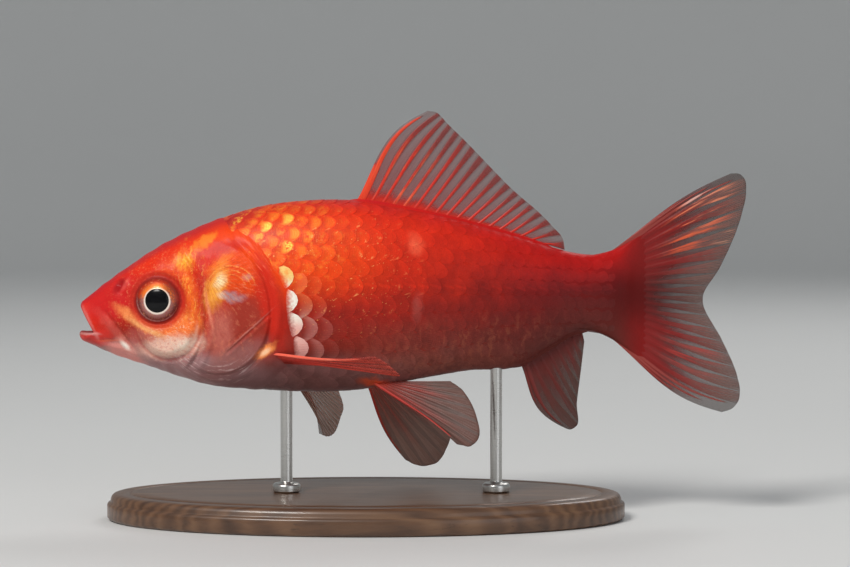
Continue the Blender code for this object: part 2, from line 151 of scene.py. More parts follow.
def skinY(x, z):
    # the skin's distance from the midline at a point seen from the side
    back, belly, half, level, fullAbove, fullBelow = bodyAt(x)
    rise = np.where(z > level, back - level, level - belly)
    full = np.where(z > level, fullAbove, fullBelow)
    c = np.clip((z - level) / rise, -0.995, 0.995)
    return half * np.sqrt(1 - c**2) * (1 + full * c**2)


def placed(points):
    # fish points as metres in the frame, with the tail's bend
    p = np.array(points, float)
    bend = (p[..., 0] - swing["start"]) / (swing["end"] - swing["start"])
    p[..., 1] += swing["reach"] * np.clip(bend, 0, None) ** 2
    p[..., 0] -= standStation
    p[..., 2] += eyeHeight
    return p * mm


# meshes from arrays of points
def pointsOf(x, y, z):
    # one array of points from three coordinates that share a grid
    return np.stack(np.broadcast_arrays(x, y, z), axis=-1)


def fullTurn(around):
    return np.arange(around) * 2 * np.pi / around


def gridFaces(rows, columns, wraps=False, first=0):
    # quads between neighbouring points of a grid that is numbered row by row
    index = first + np.arange(rows * columns).reshape(rows, columns)
    here = index if wraps else index[:, :-1]
    beside = np.roll(index, -1, axis=1) if wraps else index[:, 1:]
    return np.stack([here[:-1], here[1:], beside[1:], beside[:-1]], axis=-1).reshape(-1, 4).tolist()


def fanFaces(ring, tip):
    # triangles from a closed ring of points to one tip
    return np.stack([ring, np.roll(ring, -1), np.full(len(ring), tip)], axis=1).tolist()


def closedRings(rings, first, last):
    # quads between rings of points, and a fan from the first and the last ring to a tip of its own
    count, around = rings.shape[:2]
    ring, tip = np.arange(around), count * around
    faces = gridFaces(count, around, wraps=True)
    faces += fanFaces(ring, tip) + fanFaces((count - 1) * around + ring, tip + 1)
    return np.concatenate([rings.reshape(-1, 3), [first], [last]]), faces


def gridRim(rows, columns):
    # the numbers of a grid's outer points, in order round it
    index = np.arange(rows * columns).reshape(rows, columns)
    return np.concatenate([index[0], index[1:, -1], index[-1, -2::-1], index[-2:0:-1, 0]])


def bandFaces(ring, other):
    # quads between two closed rings of points
    return np.stack([ring, np.roll(ring, -1), np.roll(other, -1), other], axis=1)


def addPiece(name, points, faces, look, sharp=None):
    # a smooth mesh from points in metres, its faces turned outwards, riding on the one body
    mesh = bpy.data.meshes.new(name)
    mesh.from_pydata(np.reshape(points, (-1, 3)).tolist(), [], faces)
    shell = bmesh.new()
    shell.from_mesh(mesh)
    bmesh.ops.recalc_face_normals(shell, faces=shell.faces)
    shell.to_mesh(mesh)
    shell.free()
    mesh.shade_smooth()
    if sharp:
        mesh.set_sharp_from_angle(angle=np.radians(sharp))
    mesh.materials.append(look)
    piece = bpy.data.objects.new(name, mesh)
    bpy.context.scene.collection.objects.link(piece)
    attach(piece, "root")
    return piece


def addNumbers(piece, **numbers):
    # one number per point, for the piece's material to read
    for name, values in numbers.items():
        held = piece.data.attributes.new(name, "FLOAT", "POINT")
        held.data.foreach_set("value", np.asarray(values, np.float32).ravel())


def addBakeMap(piece, across, along, joins=False):
    # the OFBake map from two shares per point; where a ring closes on itself its last faces run on to 1
    mesh = piece.data
    corner = np.empty(len(mesh.loops), np.int32)
    mesh.loops.foreach_get("vertex_index", corner)
    u, v = np.ravel(across)[corner], np.ravel(along)[corner]
    if joins:
        sides = np.empty(len(mesh.polygons), np.int32)
        mesh.polygons.foreach_get("loop_total", sides)
        face = np.repeat(np.arange(len(sides)), sides)
        widest = np.zeros(len(sides))
        np.maximum.at(widest, face, v)
        v = v + ((widest[face] - v) > 0.5)
    layer = mesh.uv_layers.new(name="OFBake")
    layer.data.foreach_set("uv", np.stack([u, v], axis=1).astype(np.float32).ravel())


# materials, with their maths written as Python expressions
class Signal:
    # one socket's value, with + - * and / as Math nodes
    def __init__(self, paint, socket):
        self.paint = paint
        self.socket = socket

    def math(self, operation, first, second):
        return self.paint.node("ShaderNodeMath", {"operation": operation}, {0: first, 1: second})

    def __add__(self, other):
        return self.math("ADD", self, other)

    __radd__ = __add__

    def __sub__(self, other):
        return self.math("SUBTRACT", self, other)

    def __rsub__(self, other):
        return self.math("SUBTRACT", other, self)

    def __mul__(self, other):
        return self.math("MULTIPLY", self, other)

    __rmul__ = __mul__

    def __truediv__(self, other):
        return self.math("DIVIDE", self, other)

    def most(self, other):
        return self.math("MAXIMUM", self, other)

    def least(self, other):
        return self.math("MINIMUM", self, other)

    def alone(self, operation):
        # sine, absolute value and other maths of one number
        return self.paint.node("ShaderNodeMath", {"operation": operation}, {0: self})

    def step(self, low, high):
        # 0 up to low, 1 from high, smooth between
        smooth = {"interpolation_type": "SMOOTHSTEP"}
        return self.paint.node("ShaderNodeMapRange", smooth, {0: self, 1: low, 2: high})

    def band(self, low, high, soft):
        # 1 between low and high, fading out over soft
        return self.step(low - soft, low + soft) * (1 - self.step(high - soft, high + soft))


class Paint:
    # one material, whose nodes are added from Python
    def __init__(self, name):
        self.material = bpy.data.materials.new(name)
        self.material.use_nodes = True
        self.tree = self.material.node_tree
        self.shader = self.tree.nodes["Principled BSDF"]
        self.known = {}

    def node(self, kind, settings=None, values=None, output=0):
        made = self.tree.nodes.new(kind)
        for key, value in (settings or {}).items():
            if key == "stops":
                self.setStops(made.color_ramp, value)
            else:
                setattr(made, key, value)
        for key, value in (values or {}).items():
            self.plug(made.inputs[key], value)
        return Signal(self, made.outputs[output])

    def setStops(self, ramp, stops):
        for n, (place, colour) in enumerate(stops.items()):
            stop = ramp.elements[n] if n < 2 else ramp.elements.new(place)
            stop.position = place
            stop.color = (*colour, 1)

    def plug(self, socket, value):
        if isinstance(value, Signal):
            self.tree.links.new(value.socket, socket)
        elif socket.type == "RGBA":
            socket.default_value = (*value, 1)
        else:
            socket.default_value = value

    def finish(self, **values):
        # CoatWeight and the like name the shader's own sockets
        names = {
            "Colour": "Base Color",
            "CoatWeight": "Coat Weight",
            "CoatRoughness": "Coat Roughness",
            "Gloss": "Specular IOR Level",
        }
        for name, value in values.items():
            self.plug(self.shader.inputs[names.get(name, name)], value)
        return self.material

    def attribute(self, name):
        if name not in self.known:
            self.known[name] = self.node("ShaderNodeAttribute", {"attribute_name": name}, output="Fac")
        return self.known[name]

    def vectorMath(self, operation, values, output=0):
        return self.node("ShaderNodeVectorMath", {"operation": operation}, values, output)

    def scaled(self, vector, amount):
        # a vector, or a colour made lighter or darker, by a number
        return self.vectorMath("SCALE", {0: vector, "Scale": amount})

    def moved(self, vector, by):
        return self.vectorMath("ADD", {0: vector, 1: by})

    def place(self):
        # the point in fish millimetres, from Object coordinates
        if "place" not in self.known:
            metres = self.node("ShaderNodeTexCoord", output="Object")
            moved = self.moved(metres, (standStation * mm, 0, -eyeHeight * mm))
            self.known["place"] = self.scaled(moved, 1 / mm)
        return self.known["place"]

    def part(self, vector, axis):
        return self.node("ShaderNodeSeparateXYZ", {}, {0: vector}, output=axis)

    def joined(self, x, y, z=0.0):
        return self.node("ShaderNodeCombineXYZ", {}, {0: x, 1: y, 2: z})

    def stretched(self, vector, scale, centre=(0, 0, 0), turn=0.0):
        # the vector measured from a centre along turned axes, and divided by a scale on each
        values = {0: vector, "Location": centre, "Rotation": (0, -np.radians(turn), 0), "Scale": scale}
        return self.node("ShaderNodeMapping", {"vector_type": "TEXTURE"}, values)

    def noise(self, vector, fineness, detail=2.0, roughness=0.5, output="Fac"):
        values = {"Vector": vector, "Scale": fineness, "Detail": detail, "Roughness": roughness}
        return self.node("ShaderNodeTexNoise", {}, values, output)

    def mix(self, share, below, above):
        return self.node("ShaderNodeMix", {"data_type": "RGBA"}, {0: share, 6: below, 7: above}, 2)

    def mottle(self, colour, signal, amount, dark, light):
        # dark flecks where the signal is low and light ones where it is high
        colour = self.mix((1 - signal.step(0.34, 0.49)) * amount, colour, dark)
        return self.mix(signal.step(0.52, 0.66) * amount, colour, light)

    def ramp(self, value, stops):
        return self.node("ShaderNodeValToRGB", {"stops": stops}, {0: value}, "Color")

    def seenFromSide(self, vector, centre, radii=(1.0, 1.0), turn=0.0):
        # the point as seen from the side, measured from an oval's centre in shares of its radii
        squeezed = 1000.0
        return self.stretched(vector, (radii[0], squeezed, radii[1]), (centre[0], 0, centre[1]), turn)

    def length(self, local):
        return self.vectorMath("LENGTH", {0: local}, "Value")

    def heading(self, local):
        # the direction from the centre, as an angle from the X axis
        z = self.part(local, "Z")
        return z.math("ARCTAN2", z, self.part(local, "X"))

    def reachFrom(self, vector, centre, radii=(1.0, 1.0), turn=0.0):
        # how far out a point lies, from an oval's centre (0) to its rim (1)
        return self.length(self.seenFromSide(vector, centre, radii, turn))

    def spot(self, vector, centre, radii, turn=0.0, soft=0.35):
        # 1 inside an oval, fading out around its rim
        return 1 - self.reachFrom(vector, centre, radii, turn).step(1 - soft, 1 + soft)

    def bump(self, height, depth, strength):
        inputs = {"Height": height, "Distance": depth * mm, "Strength": strength}
        return self.node("ShaderNodeBump", {}, inputs)


# markings, shared by the skin and the scales
tailRootRed = (0.23, 0.009, 0.008)  # of the skin and the fin alike, where the flesh ends
# centre, radii, turn in degrees, softness, how much it covers, colour, how metallic; later ones lie on top
markings = {
    "snout": ((5.0, 0.6), (5.2, 3.4), 25, 0.5, 0.85, (0.60, 0.015, 0.018), 0.0),
    # the bright orange over the upper front flank: partly the fish's own colour, partly painted light
    "frontOrangeAndLight": ((31.0, 7.8), (12.0, 6.0), -8, 0.6, 0.85, (0.96, 0.074, 0.006), 0.0),
    "lowHead": ((14.8, -11.6), (17.0, 4.6), -8, 0.3, 0.85, (0.42, 0.245, 0.25), 0.05),
    # the breast's dark tone: partly the belly's own pink-grey, partly painted shade
    "breast": ((34.0, -12.6), (15.0, 4.4), 2, 0.4, 0.75, (0.175, 0.083, 0.083), 0.0),
    "chinPink": ((6.8, -8.0), (3.2, 1.1), -28, 0.5, 0.85, (0.85, 0.30, 0.26), 0.0),
    "browOrange": ((15.2, 5.6), (3.4, 1.5), 35, 0.6, 0.6, (0.90, 0.10, 0.018), 0.0),
    "cheekOrange": ((14.7, -3.7), (4.4, 2.3), 12, 0.5, 0.95, (0.98, 0.20, 0.035), 0.0),
    "cheekRose": ((10.6, -6.1), (2.9, 2.1), -20, 0.5, 0.75, (0.50, 0.135, 0.115), 0.0),
    "jawBone": ((5.2, -4.0), (3.0, 0.70), -46, 0.8, 0.35, (0.74, 0.15, 0.12), 0.0),
    "underEyeGold": ((9.3, -2.9), (3.6, 0.85), -31, 0.6, 0.95, (1.0, 0.30, 0.09), 0.05),
    "underEyeYellow": ((10.6, -4.0), (2.6, 0.40), -26, 0.8, 0.7, (1.0, 0.52, 0.20), 0.05),
    "cheekSilver": ((14.2, -6.7), (4.3, 1.5), 8, 0.6, 0.95, (1.0, 0.66, 0.53), 0.0),
    "cheekShine": ((16.2, -6.6), (1.5, 0.8), 34, 0.7, 0.85, (1.0, 0.82, 0.68), 0.0),
    "fleckGlow": ((7.2, -6.7), (1.5, 0.75), -42, 0.8, 0.6, (1.0, 0.42, 0.34), 0.0),
    "mouthFleck": ((7.1, -6.65), (0.80, 0.36), -45, 0.8, 1.0, (1.0, 0.88, 0.78), 0.0),
    "goldBand": ((17.0, 1.6), (0.85, 4.4), 12, 0.7, 0.9, (0.98, 0.17, 0.018), 0.05),
    "goldBandTop": ((16.2, 6.0), (1.25, 1.15), 8, 0.6, 0.9, (1.0, 0.42, 0.04), 0.1),
    "goldPatch": ((18.9, 8.7), (2.3, 0.85), 38, 0.3, 0.95, (0.98, 0.22, 0.02), 0.05),
    "behindBand": ((19.0, 1.2), (0.60, 6.0), 7, 0.6, 0.8, (0.56, 0.024, 0.014), 0.0),
    "coverTop": ((23.8, 4.4), (3.8, 2.9), -35, 0.4, 0.85, (0.84, 0.075, 0.008), 0.05),
    "coverWedge": ((21.6, 6.1), (2.4, 0.80), 40, 0.5, 0.85, (0.95, 0.17, 0.018), 0.05),
    "coverRedTop": ((21.8, 7.9), (3.4, 0.95), 12, 0.7, 0.8, (0.64, 0.020, 0.018), 0.0),
    "coverRed": ((19.6, 6.0), (2.0, 0.65), 28, 0.6, 0.8, (0.74, 0.026, 0.020), 0.0),
    "coverMaroon": ((25.2, -2.8), (3.3, 3.7), 0, 0.5, 0.85, (0.36, 0.042, 0.026), 0.05),
    "coverSalmon": ((21.6, -4.9), (1.8, 3.8), 0, 0.6, 0.75, (0.60, 0.165, 0.125), 0.05),
    "coverLow": ((23.6, -8.6), (5.2, 1.9), 30, 0.5, 0.8, (0.34, 0.135, 0.125), 0.05),
    "coverYellow": ((21.0, 2.2), (1.3, 2.9), -18, 0.7, 0.95, (1.0, 0.43, 0.05), 0.05),
    "ridgeLine": ((19.9, -1.2), (0.24, 2.8), 12, 0.95, 0.45, (1.0, 0.36, 0.24), 0.0),
    "cheekStrokes": ((18.3, -6.2), (0.24, 1.3), -26, 0.9, 0.5, (1.0, 0.54, 0.44), 0.0),
    # the two yellow-white spots on the gill cover below are painted highlights
    "coverWhite": ((21.6, 3.1), (0.60, 0.95), -25, 0.9, 0.95, (1.0, 0.86, 0.50), 0.05),
    "coverWhiteLow": ((22.0, 1.0), (0.75, 0.45), -10, 0.8, 0.8, (1.0, 0.80, 0.56), 0.05),
    "coverSilver": ((23.4, 0.75), (1.6, 0.70), -6, 0.6, 0.9, (0.44, 0.26, 0.28), 0.1),
    "coverGlint": ((25.7, 3.7), (0.6, 0.5), 0, 0.8, 0.6, (0.66, 0.36, 0.28), 0.1),
    "shoulderBand": ((28.9, 0.4), (1.5, 6.4), 13, 0.5, 0.9, (0.62, 0.024, 0.011), 0.0),
    "creaseShine": ((25.5, -4.45), (3.6, 0.11), 42, 0.9, 0.5, (0.92, 0.34, 0.28), 0.0),
    "finBaseGold": ((28.4, -7.2), (1.7, 0.65), 38, 0.6, 0.95, (1.0, 0.30, 0.08), 0.0),
    "finBaseShine": ((28.2, -7.4), (0.8, 0.35), 35, 0.7, 0.8, (1.0, 0.66, 0.40), 0.0),
    "pelvicBase": ((44.4, -12.3), (2.0, 0.7), -10, 0.7, 0.8, (0.80, 0.09, 0.02), 0.0),
    "lowerLip": ((1.9, -5.9), (2.4, 0.8), -8, 0.5, 0.8, (0.66, 0.045, 0.040), 0.0),
    "lipCornerRed": ((3.9, -4.9), (1.4, 0.9), -10, 0.6, 0.7, (0.70, 0.035, 0.026), 0.0),
    "lipPale": ((1.5, -4.9), (1.5, 0.26), -2, 0.7, 0.7, (0.70, 0.36, 0.34), 0.0),
    "lipHook": ((2.75, -5.35), (0.26, 0.50), 24, 0.9, 0.4, (0.66, 0.24, 0.22), 0.0),
    "jawOrange": ((4.6, -5.95), (1.6, 0.14), 2, 0.9, 0.45, (0.95, 0.16, 0.06), 0.0),
    "upperLipEdge": ((1.35, -2.6), (2.6, 0.24), -62, 0.8, 0.6, (0.72, 0.20, 0.18), 0.0),
    "tailRoot": ((86.4, 0.6), (3.8, 40.0), 0, 0.6, 1.0, tailRootRed, 0.0),
    "tailDusk": ((86.5, 0.6), (6.0, 3.4), 0, 0.8, 0.5, (0.0, 0.0, 0.0), 0.0),
    "paleSpotHigh": ((50.4, 8.5), (0.9, 1.3), 20, 0.9, 0.55, (0.95, 0.15, 0.07), 0.0),
    "paleSpotLow": ((50.7, -0.84), (0.6, 1.6), -5, 0.9, 0.32, (0.44, 0.13, 0.11), 0.0),
}
# the ground colour from the back (0) to the belly (1), on the fore body and on the tail stalk; darker on the
# lower flank and on the tail stalk, partly the fish's own colour and partly painted shade
foreBody = {
    0.0: (0.58, 0.020, 0.022),
    0.16: (0.82, 0.032, 0.007),
    0.40: (0.66, 0.025, 0.006),
    0.58: (0.36, 0.016, 0.008),
    0.74: (0.30, 0.044, 0.030),
    0.86: (0.36, 0.120, 0.092),
    1.0: (0.28, 0.108, 0.100),
}
hindBody = {
    0.0: (0.52, 0.009, 0.009),
    0.20: (0.41, 0.007, 0.006),
    0.45: (0.160, 0.0046, 0.0048),
    0.70: (0.130, 0.015, 0.012),
    1.0: (0.135, 0.030, 0.024),
}
ground = {
    "ragged": 1.6,  # how far a marking's rim wanders
    "raggedNarrow": 0.4,  # the same where a marking is narrow
    "narrow": 0.5,
    "clouded": 0.16,  # how far a slow noise shifts the colours round the body
    "hindFrom": (38, 74),  # stations between which the tail stalk's darker colours, partly painted shade, take over
    "hindWanders": 14,
    "crown": (0.50, 0.016, 0.026),  # the darker top of the head
    "crownSpread": (0.08, 0.2),
    "crownEnd": (22, 31),
    "crownAmount": 0.75,
    "grain": 0.36,  # fine flecks of light and dark
}


def paintMarkings(paint):
    # the ground colour by station and girth, partly painted shade, then each marking over the last with a
    # ragged rim
    place = paint.place()
    station = paint.part(place, "X")
    girth = paint.attribute("girth")
    drift = paint.moved(paint.noise(place, 0.9, 4.0, 0.6, "Color"), (-0.5, -0.5, -0.5))
    warped = paint.moved(place, paint.scaled(drift, ground["ragged"]))
    lightly = paint.moved(place, paint.scaled(drift, ground["raggedNarrow"]))
    cloud = paint.noise(place, 0.28, 3.0) - 0.5
    level = girth + cloud * ground["clouded"]
    hindShare = (station + cloud * ground["hindWanders"]).step(*ground["hindFrom"])
    colour = paint.mix(hindShare, paint.ramp(level, foreBody), paint.ramp(level, hindBody))
    metal = 0.0
    for centre, radii, turn, soft, cover, shade, metallic in markings.values():
        drawn = lightly if min(radii) < ground["narrow"] else warped
        mask = paint.spot(drawn, centre, radii, turn, soft) * cover
        colour = paint.mix(mask, colour, shade)
        metal = metal * (1 - mask) + mask * metallic
    onTop = (1 - girth.step(*ground["crownSpread"])) * (1 - station.step(*ground["crownEnd"]))
    colour = paint.mix(onTop * ground["crownAmount"], colour, ground["crown"])
    fine = paint.noise(place, 5.0, 3.0, 0.6) - 0.5
    return paint.scaled(colour, 1 + fine * ground["grain"]), metal, warped


# streaks: how they are drawn out, their turn, fineness and detail; where (centre, radii, turn, softness); how
# much; dark and light
skinStreaks = {
    "cheek": (
        ((0.8, 1.0, 0.35), -20, 1.3, 4.0),
        ((14.9, -5.8), (4.2, 3.2), 0, 0.4), 0.40, (0.72, 0.16, 0.09), (1.0, 0.78, 0.58),
    ),
    "band": (
        ((0.32, 1.0, 2.4), -6, 1.0, 3.0),
        ((17.0, 3.0), (2.3, 5.6), 4, 0.4), 0.60, (0.74, 0.045, 0.015), (1.0, 0.50, 0.08),
    ),
    "strap": (
        ((2.6, 1.0, 0.28), -50, 1.0, 3.0),
        ((27.0, 6.4), (4.6, 1.5), -46, 0.5), 0.45, (0.70, 0.020, 0.014), (1.0, 0.17, 0.09),
    ),
}
skinTones = {
    "fanCentre": (19.3, 4.2),  # the gill cover's streaks and hatching spread from here
    "face": ((0.52, 0.040, 0.025), (1.0, 0.46, 0.20)),
    "cover": ((0.40, 0.034, 0.020), (0.84, 0.26, 0.14)),
    "hatch": (0.66, 0.12, 0.028),
    "bow": (1.0, 0.46, 0.10),
    "foldHighlight": (0.86, 0.60, 0.58),
    "cheekGrooveShade": (0.40, 0.050, 0.040),
    "cheekEdgeHighlight": (1.0, 0.56, 0.42),
    "orbit": (0.60, 0.032, 0.018),
    "lid": (0.25, 0.012, 0.010),
    "nostril": (0.36, 0.008, 0.012),
    "nostrilFlapHighlight": (0.90, 0.13, 0.11),
    # painted shade inside the mouth
    "mouth": (0.30, 0.022, 0.022),
}


def streaked(paint, colour, vector, name):
    # dark and light streaks of drawn-out noise inside a soft oval
    (scale, turn, fineness, detail), oval, amount, dark, light = skinStreaks[name]
    signal = paint.noise(paint.stretched(vector, scale, turn=turn), fineness, detail, 0.6)
    return paint.mottle(colour, signal, paint.spot(paint.place(), *oval) * amount, dark, light)


def gillCoverMarks(paint, colour, grit):
    # streaks and fine hatching that spread from the cover's upper front corner, and bright bows above
    place = paint.place()
    level = paint.part(place, "Z")
    heading = paint.heading(paint.seenFromSide(place, skinTones["fanCentre"]))
    reach = paint.reachFrom(place, skinTones["fanCentre"])
    streaks = paint.noise(paint.joined(heading * 9, reach * 0.5, grit * 0.2), 2.2, 4.0, 0.65)
    onCover = paint.spot(place, (22.8, -0.6), (5.2, 7.6), 0, 0.3) * (0.26 + level.step(-2.0, 4.0) * 0.20)
    colour = paint.mottle(colour, streaks, onCover, *skinTones["cover"])
    hatch = (heading * 42 + grit * 5).alone("SINE").step(0.2, 0.9) * streaks.step(0.35, 0.55)
    hatch = hatch * paint.spot(place, (21.9, 2.0), (2.5, 3.2), 10, 0.5)
    colour = paint.mix(hatch * 0.42, colour, skinTones["hatch"])
    colour = streaked(paint, colour, place, "strap")
    archReach = paint.reachFrom(place, (23.2, 1.9), (1.0, 0.95)) + (streaks - 0.5) * 0.5
    bows = (archReach * 9).alone("SINE").step(0.2, 1.0) * archReach.band(2.2, 3.9, 0.3)
    bows = bows * level.step(2.2, 3.6) * grit.step(0.38, 0.60)
    return paint.mix(bows * 0.55, colour, skinTones["bow"])


def plateEdges(paint, colour, grit):
    # painted highlights on the folds that run round under the gill cover, painted shade in the cheek plate's
    # groove and a painted highlight on its edge
    place = paint.place()
    station, level = paint.part(place, "X"), paint.part(place, "Z")
    rim = paint.seenFromSide(place, gillCover["centre"], (gillCover["long"], gillCover["below"]))
    rimReach = paint.length(rim)
    # painted highlights on the folds under the gill cover
    strands = paint.joined(paint.heading(rim) * 3.0, rimReach * 26, grit * 0.4)
    folds = paint.noise(strands, 1.0, 3.0, 0.6).step(0.50, 0.66) * rimReach.band(0.84, 1.16, 0.08)
    folds = folds * (1 - level.step(-9.5, -6.5)) * (1 - station.step(24, 28))
    colour = paint.mix(folds * 0.60, colour, skinTones["foldHighlight"])
    # painted shade in the groove round the cheek plate, and a painted highlight on its edge
    cheekReach = paint.reachFrom(place, cheek["centre"], cheek["radii"])
    lowCheek = (1 - level.step(-4.6, -2.6)) * 0.5
    colour = paint.mix(cheekReach.band(1.03, 1.10, 0.05) * lowCheek, colour, skinTones["cheekGrooveShade"])
    lowCheek = lowCheek * station.step(12.0, 16.5)
    return paint.mix(cheekReach.band(0.90, 0.98, 0.06) * lowCheek, colour, skinTones["cheekEdgeHighlight"])


def skinLook():
    # markings, streaked and flecked along the face's plates; painted shade in the cheek plate's groove and
    # painted highlight on its edge; a dark ring round the eye; folds picked out in painted highlights under
    # the gill cover; a dark nostril and mouth, partly painted shade, and a painted highlight on the nostril's
    # flap; then fine pores
    paint = Paint("goldfish_skin")
    colour, metal, warped = paintMarkings(paint)
    place = paint.place()
    grit = paint.noise(place, 2.4, 4.0, 0.7)
    onFace = paint.spot(place, (13.5, -0.5), (7.6, 8.0), 0, 0.4)
    colour = paint.mottle(colour, grit, onFace * 0.30, *skinTones["face"])
    colour = streaked(paint, colour, warped, "cheek")
    colour = streaked(paint, colour, warped, "band")
    colour = gillCoverMarks(paint, colour, grit)
    colour = plateEdges(paint, colour, grit)
    fromEye = paint.reachFrom(place, (eye["station"], eye["level"])) + (grit - 0.5) * 0.5
    colour = paint.mix((1 - fromEye.step(3.8, 4.9)) * 0.85, colour, skinTones["orbit"])
    colour = paint.mix((1 - fromEye.step(3.35, 3.9)) * 0.8, colour, skinTones["lid"])
    noseX, noseZ = nose["place"]
    # the nostril's dark pit: partly its own dark opening, partly painted shade; its flap's lighter tone is a
    # painted highlight
    nostril = paint.spot(place, (noseX - 0.2, noseZ - 0.1), (0.60, 1.25), -38, 0.5)
    flap = paint.spot(place, (noseX + 0.75, noseZ + 0.15), (0.30, 0.95), -30, 0.7)
    colour = paint.mix(nostril * 0.85, colour, skinTones["nostril"])
    colour = paint.mix(flap * 0.5, colour, skinTones["nostrilFlapHighlight"])
    # painted shade inside the mouth, by the mouth number
    colour = paint.mix(paint.attribute("mouth"), colour, skinTones["mouth"])
    pores = paint.noise(place, 7.0, 4.0, 0.7)
    dimples = paint.noise(place, 1.6, 2.0)
    height = pores * 0.30 + dimples * 0.45 + grit * 0.25
    return paint.finish(
        Colour=colour,
        Metallic=metal,
        Roughness=0.36 + pores * 0.16 + nostril * 0.4,
        Gloss=0.11,
        Normal=paint.bump(height, 0.10, 0.5),
        CoatWeight=0.04,
        CoatRoughness=0.14,
    )


scaleTones = {
    "leaf": (1.0, 0.36, 0.03),
    "leafHighlight": (1.0, 0.62, 0.10),
    "pearlLow": (0.92, 0.52, 0.46),
    "pearlHigh": (1.0, 0.92, 0.78),
    "pearlTop": (1.0, 0.64, 0.20),
    "pearlShine": (1.0, 0.97, 0.86),
    "pearlHind": (1.0, 0.36, 0.14),
    "front": (1.0, 0.26, 0.028),
    "low": ((0.110, 0.016, 0.012), (0.36, 0.100, 0.048)),
    "glint": (1.0, 0.42, 0.14),
    "frontPlace": ((31.0, 8.5), (9.0, 6.0), -8, 0.6),  # centre, radii, turn, softness
    "lowPlace": ((57.0, -6.5), (13.0, 3.6), 9, 0.6),
    "glintPlace": ((37.0, 4.5), (11.0, 9.0), 0, 0.6),
    "calm": (42, 66),  # stations between which the painted shade and highlight on each scale grow weaker
    "calmAmount": 0.6,
}


def gilded(paint, colour, side, bare):
    # gold leaf in the middle of each golden scale's bare part, partly the scales' own gold and partly painted
    # highlight, brighter where the scale is most golden
    along, gold = paint.attribute("along"), paint.attribute("gold")
    middle = along.step(0.50, 0.76) * (1 - along.step(0.90, 1.0)) * (1 - side.step(0.25, 0.85)) * bare
    soft = paint.noise(paint.place(), 1.8, 4.0, 0.65)
    leaf = gold * middle * (soft + paint.attribute("chance") * 0.22).step(0.44, 0.66)
    colour = paint.mix(leaf * 0.85, colour, scaleTones["leaf"])
    return paint.mix(leaf * gold.step(0.7, 1.0) * 0.55, colour, scaleTones["leafHighlight"]), leaf


def pearled(paint, colour, side, grain):
    # pearl that grows from each silver scale's root to its rim, pink below, white in the middle, golden
    # above, with a painted highlight down the first row behind the gill opening
    along, silver, past = paint.attribute("along"), paint.attribute("silver"), paint.attribute("past")
    station, level = paint.part(paint.place(), "X"), paint.part(paint.place(), "Z")
    pearl = along.step(0.44 - silver * 0.10, 1.0 - silver * 0.42) * (1 - side.step(0.72, 1.1))
    pearl = pearl * (past + (grain - 0.5) * 1.2).step(0.2, 2.1)
    shine = 1 - (station + level * 0.16 - 32.5).alone("ABSOLUTE").step(0.4, 1.7)
    pearl = pearl * (silver * 1.6).least(1.0) * (0.50 + shine * 0.45 + grain * 0.4)
    tone = paint.mix(level.step(-4.0, -1.5), scaleTones["pearlLow"], scaleTones["pearlHigh"])
    tone = paint.mix(level.step(1.0, 3.6), tone, scaleTones["pearlTop"])
    tone = paint.mix(shine * level.band(-2.5, 3.0, 1.5) * 0.7, tone, scaleTones["pearlShine"])
    tone = paint.mix((1 - silver.step(0.3, 0.8)) * level.step(-3.5, 0.5), tone, scaleTones["pearlHind"])
    return paint.mix(pearl.least(1.0), colour, tone), pearl


def glinting(paint, colour, bare):
    # painted highlights on the front flank: bright dashes on some scales' rims, and slanting flecks
    place, chance, along = paint.place(), paint.attribute("chance"), paint.attribute("along")
    middle = paint.attribute("across") - (chance - 0.5) * 1.8
    rim = along.band(0.84, 0.94, 0.06) * middle.band(-0.16, 0.16, 0.14)
    broken = paint.noise(place, 1.5, 3.0, 0.65)
    dashes = rim * broken.step(0.46, 0.58) * chance.step(0.45, 0.60)
    flecks = paint.noise(paint.stretched(place, (1.0, 1.0, 0.45), turn=35), 2.4, 2.0, 0.5).step(0.62, 0.70)
    lit = paint.spot(place, *scaleTones["glintPlace"]) * bare * 0.85
    return paint.mix(dashes.most(flecks * broken.step(0.5, 0.6)) * lit, colour, scaleTones["glint"])


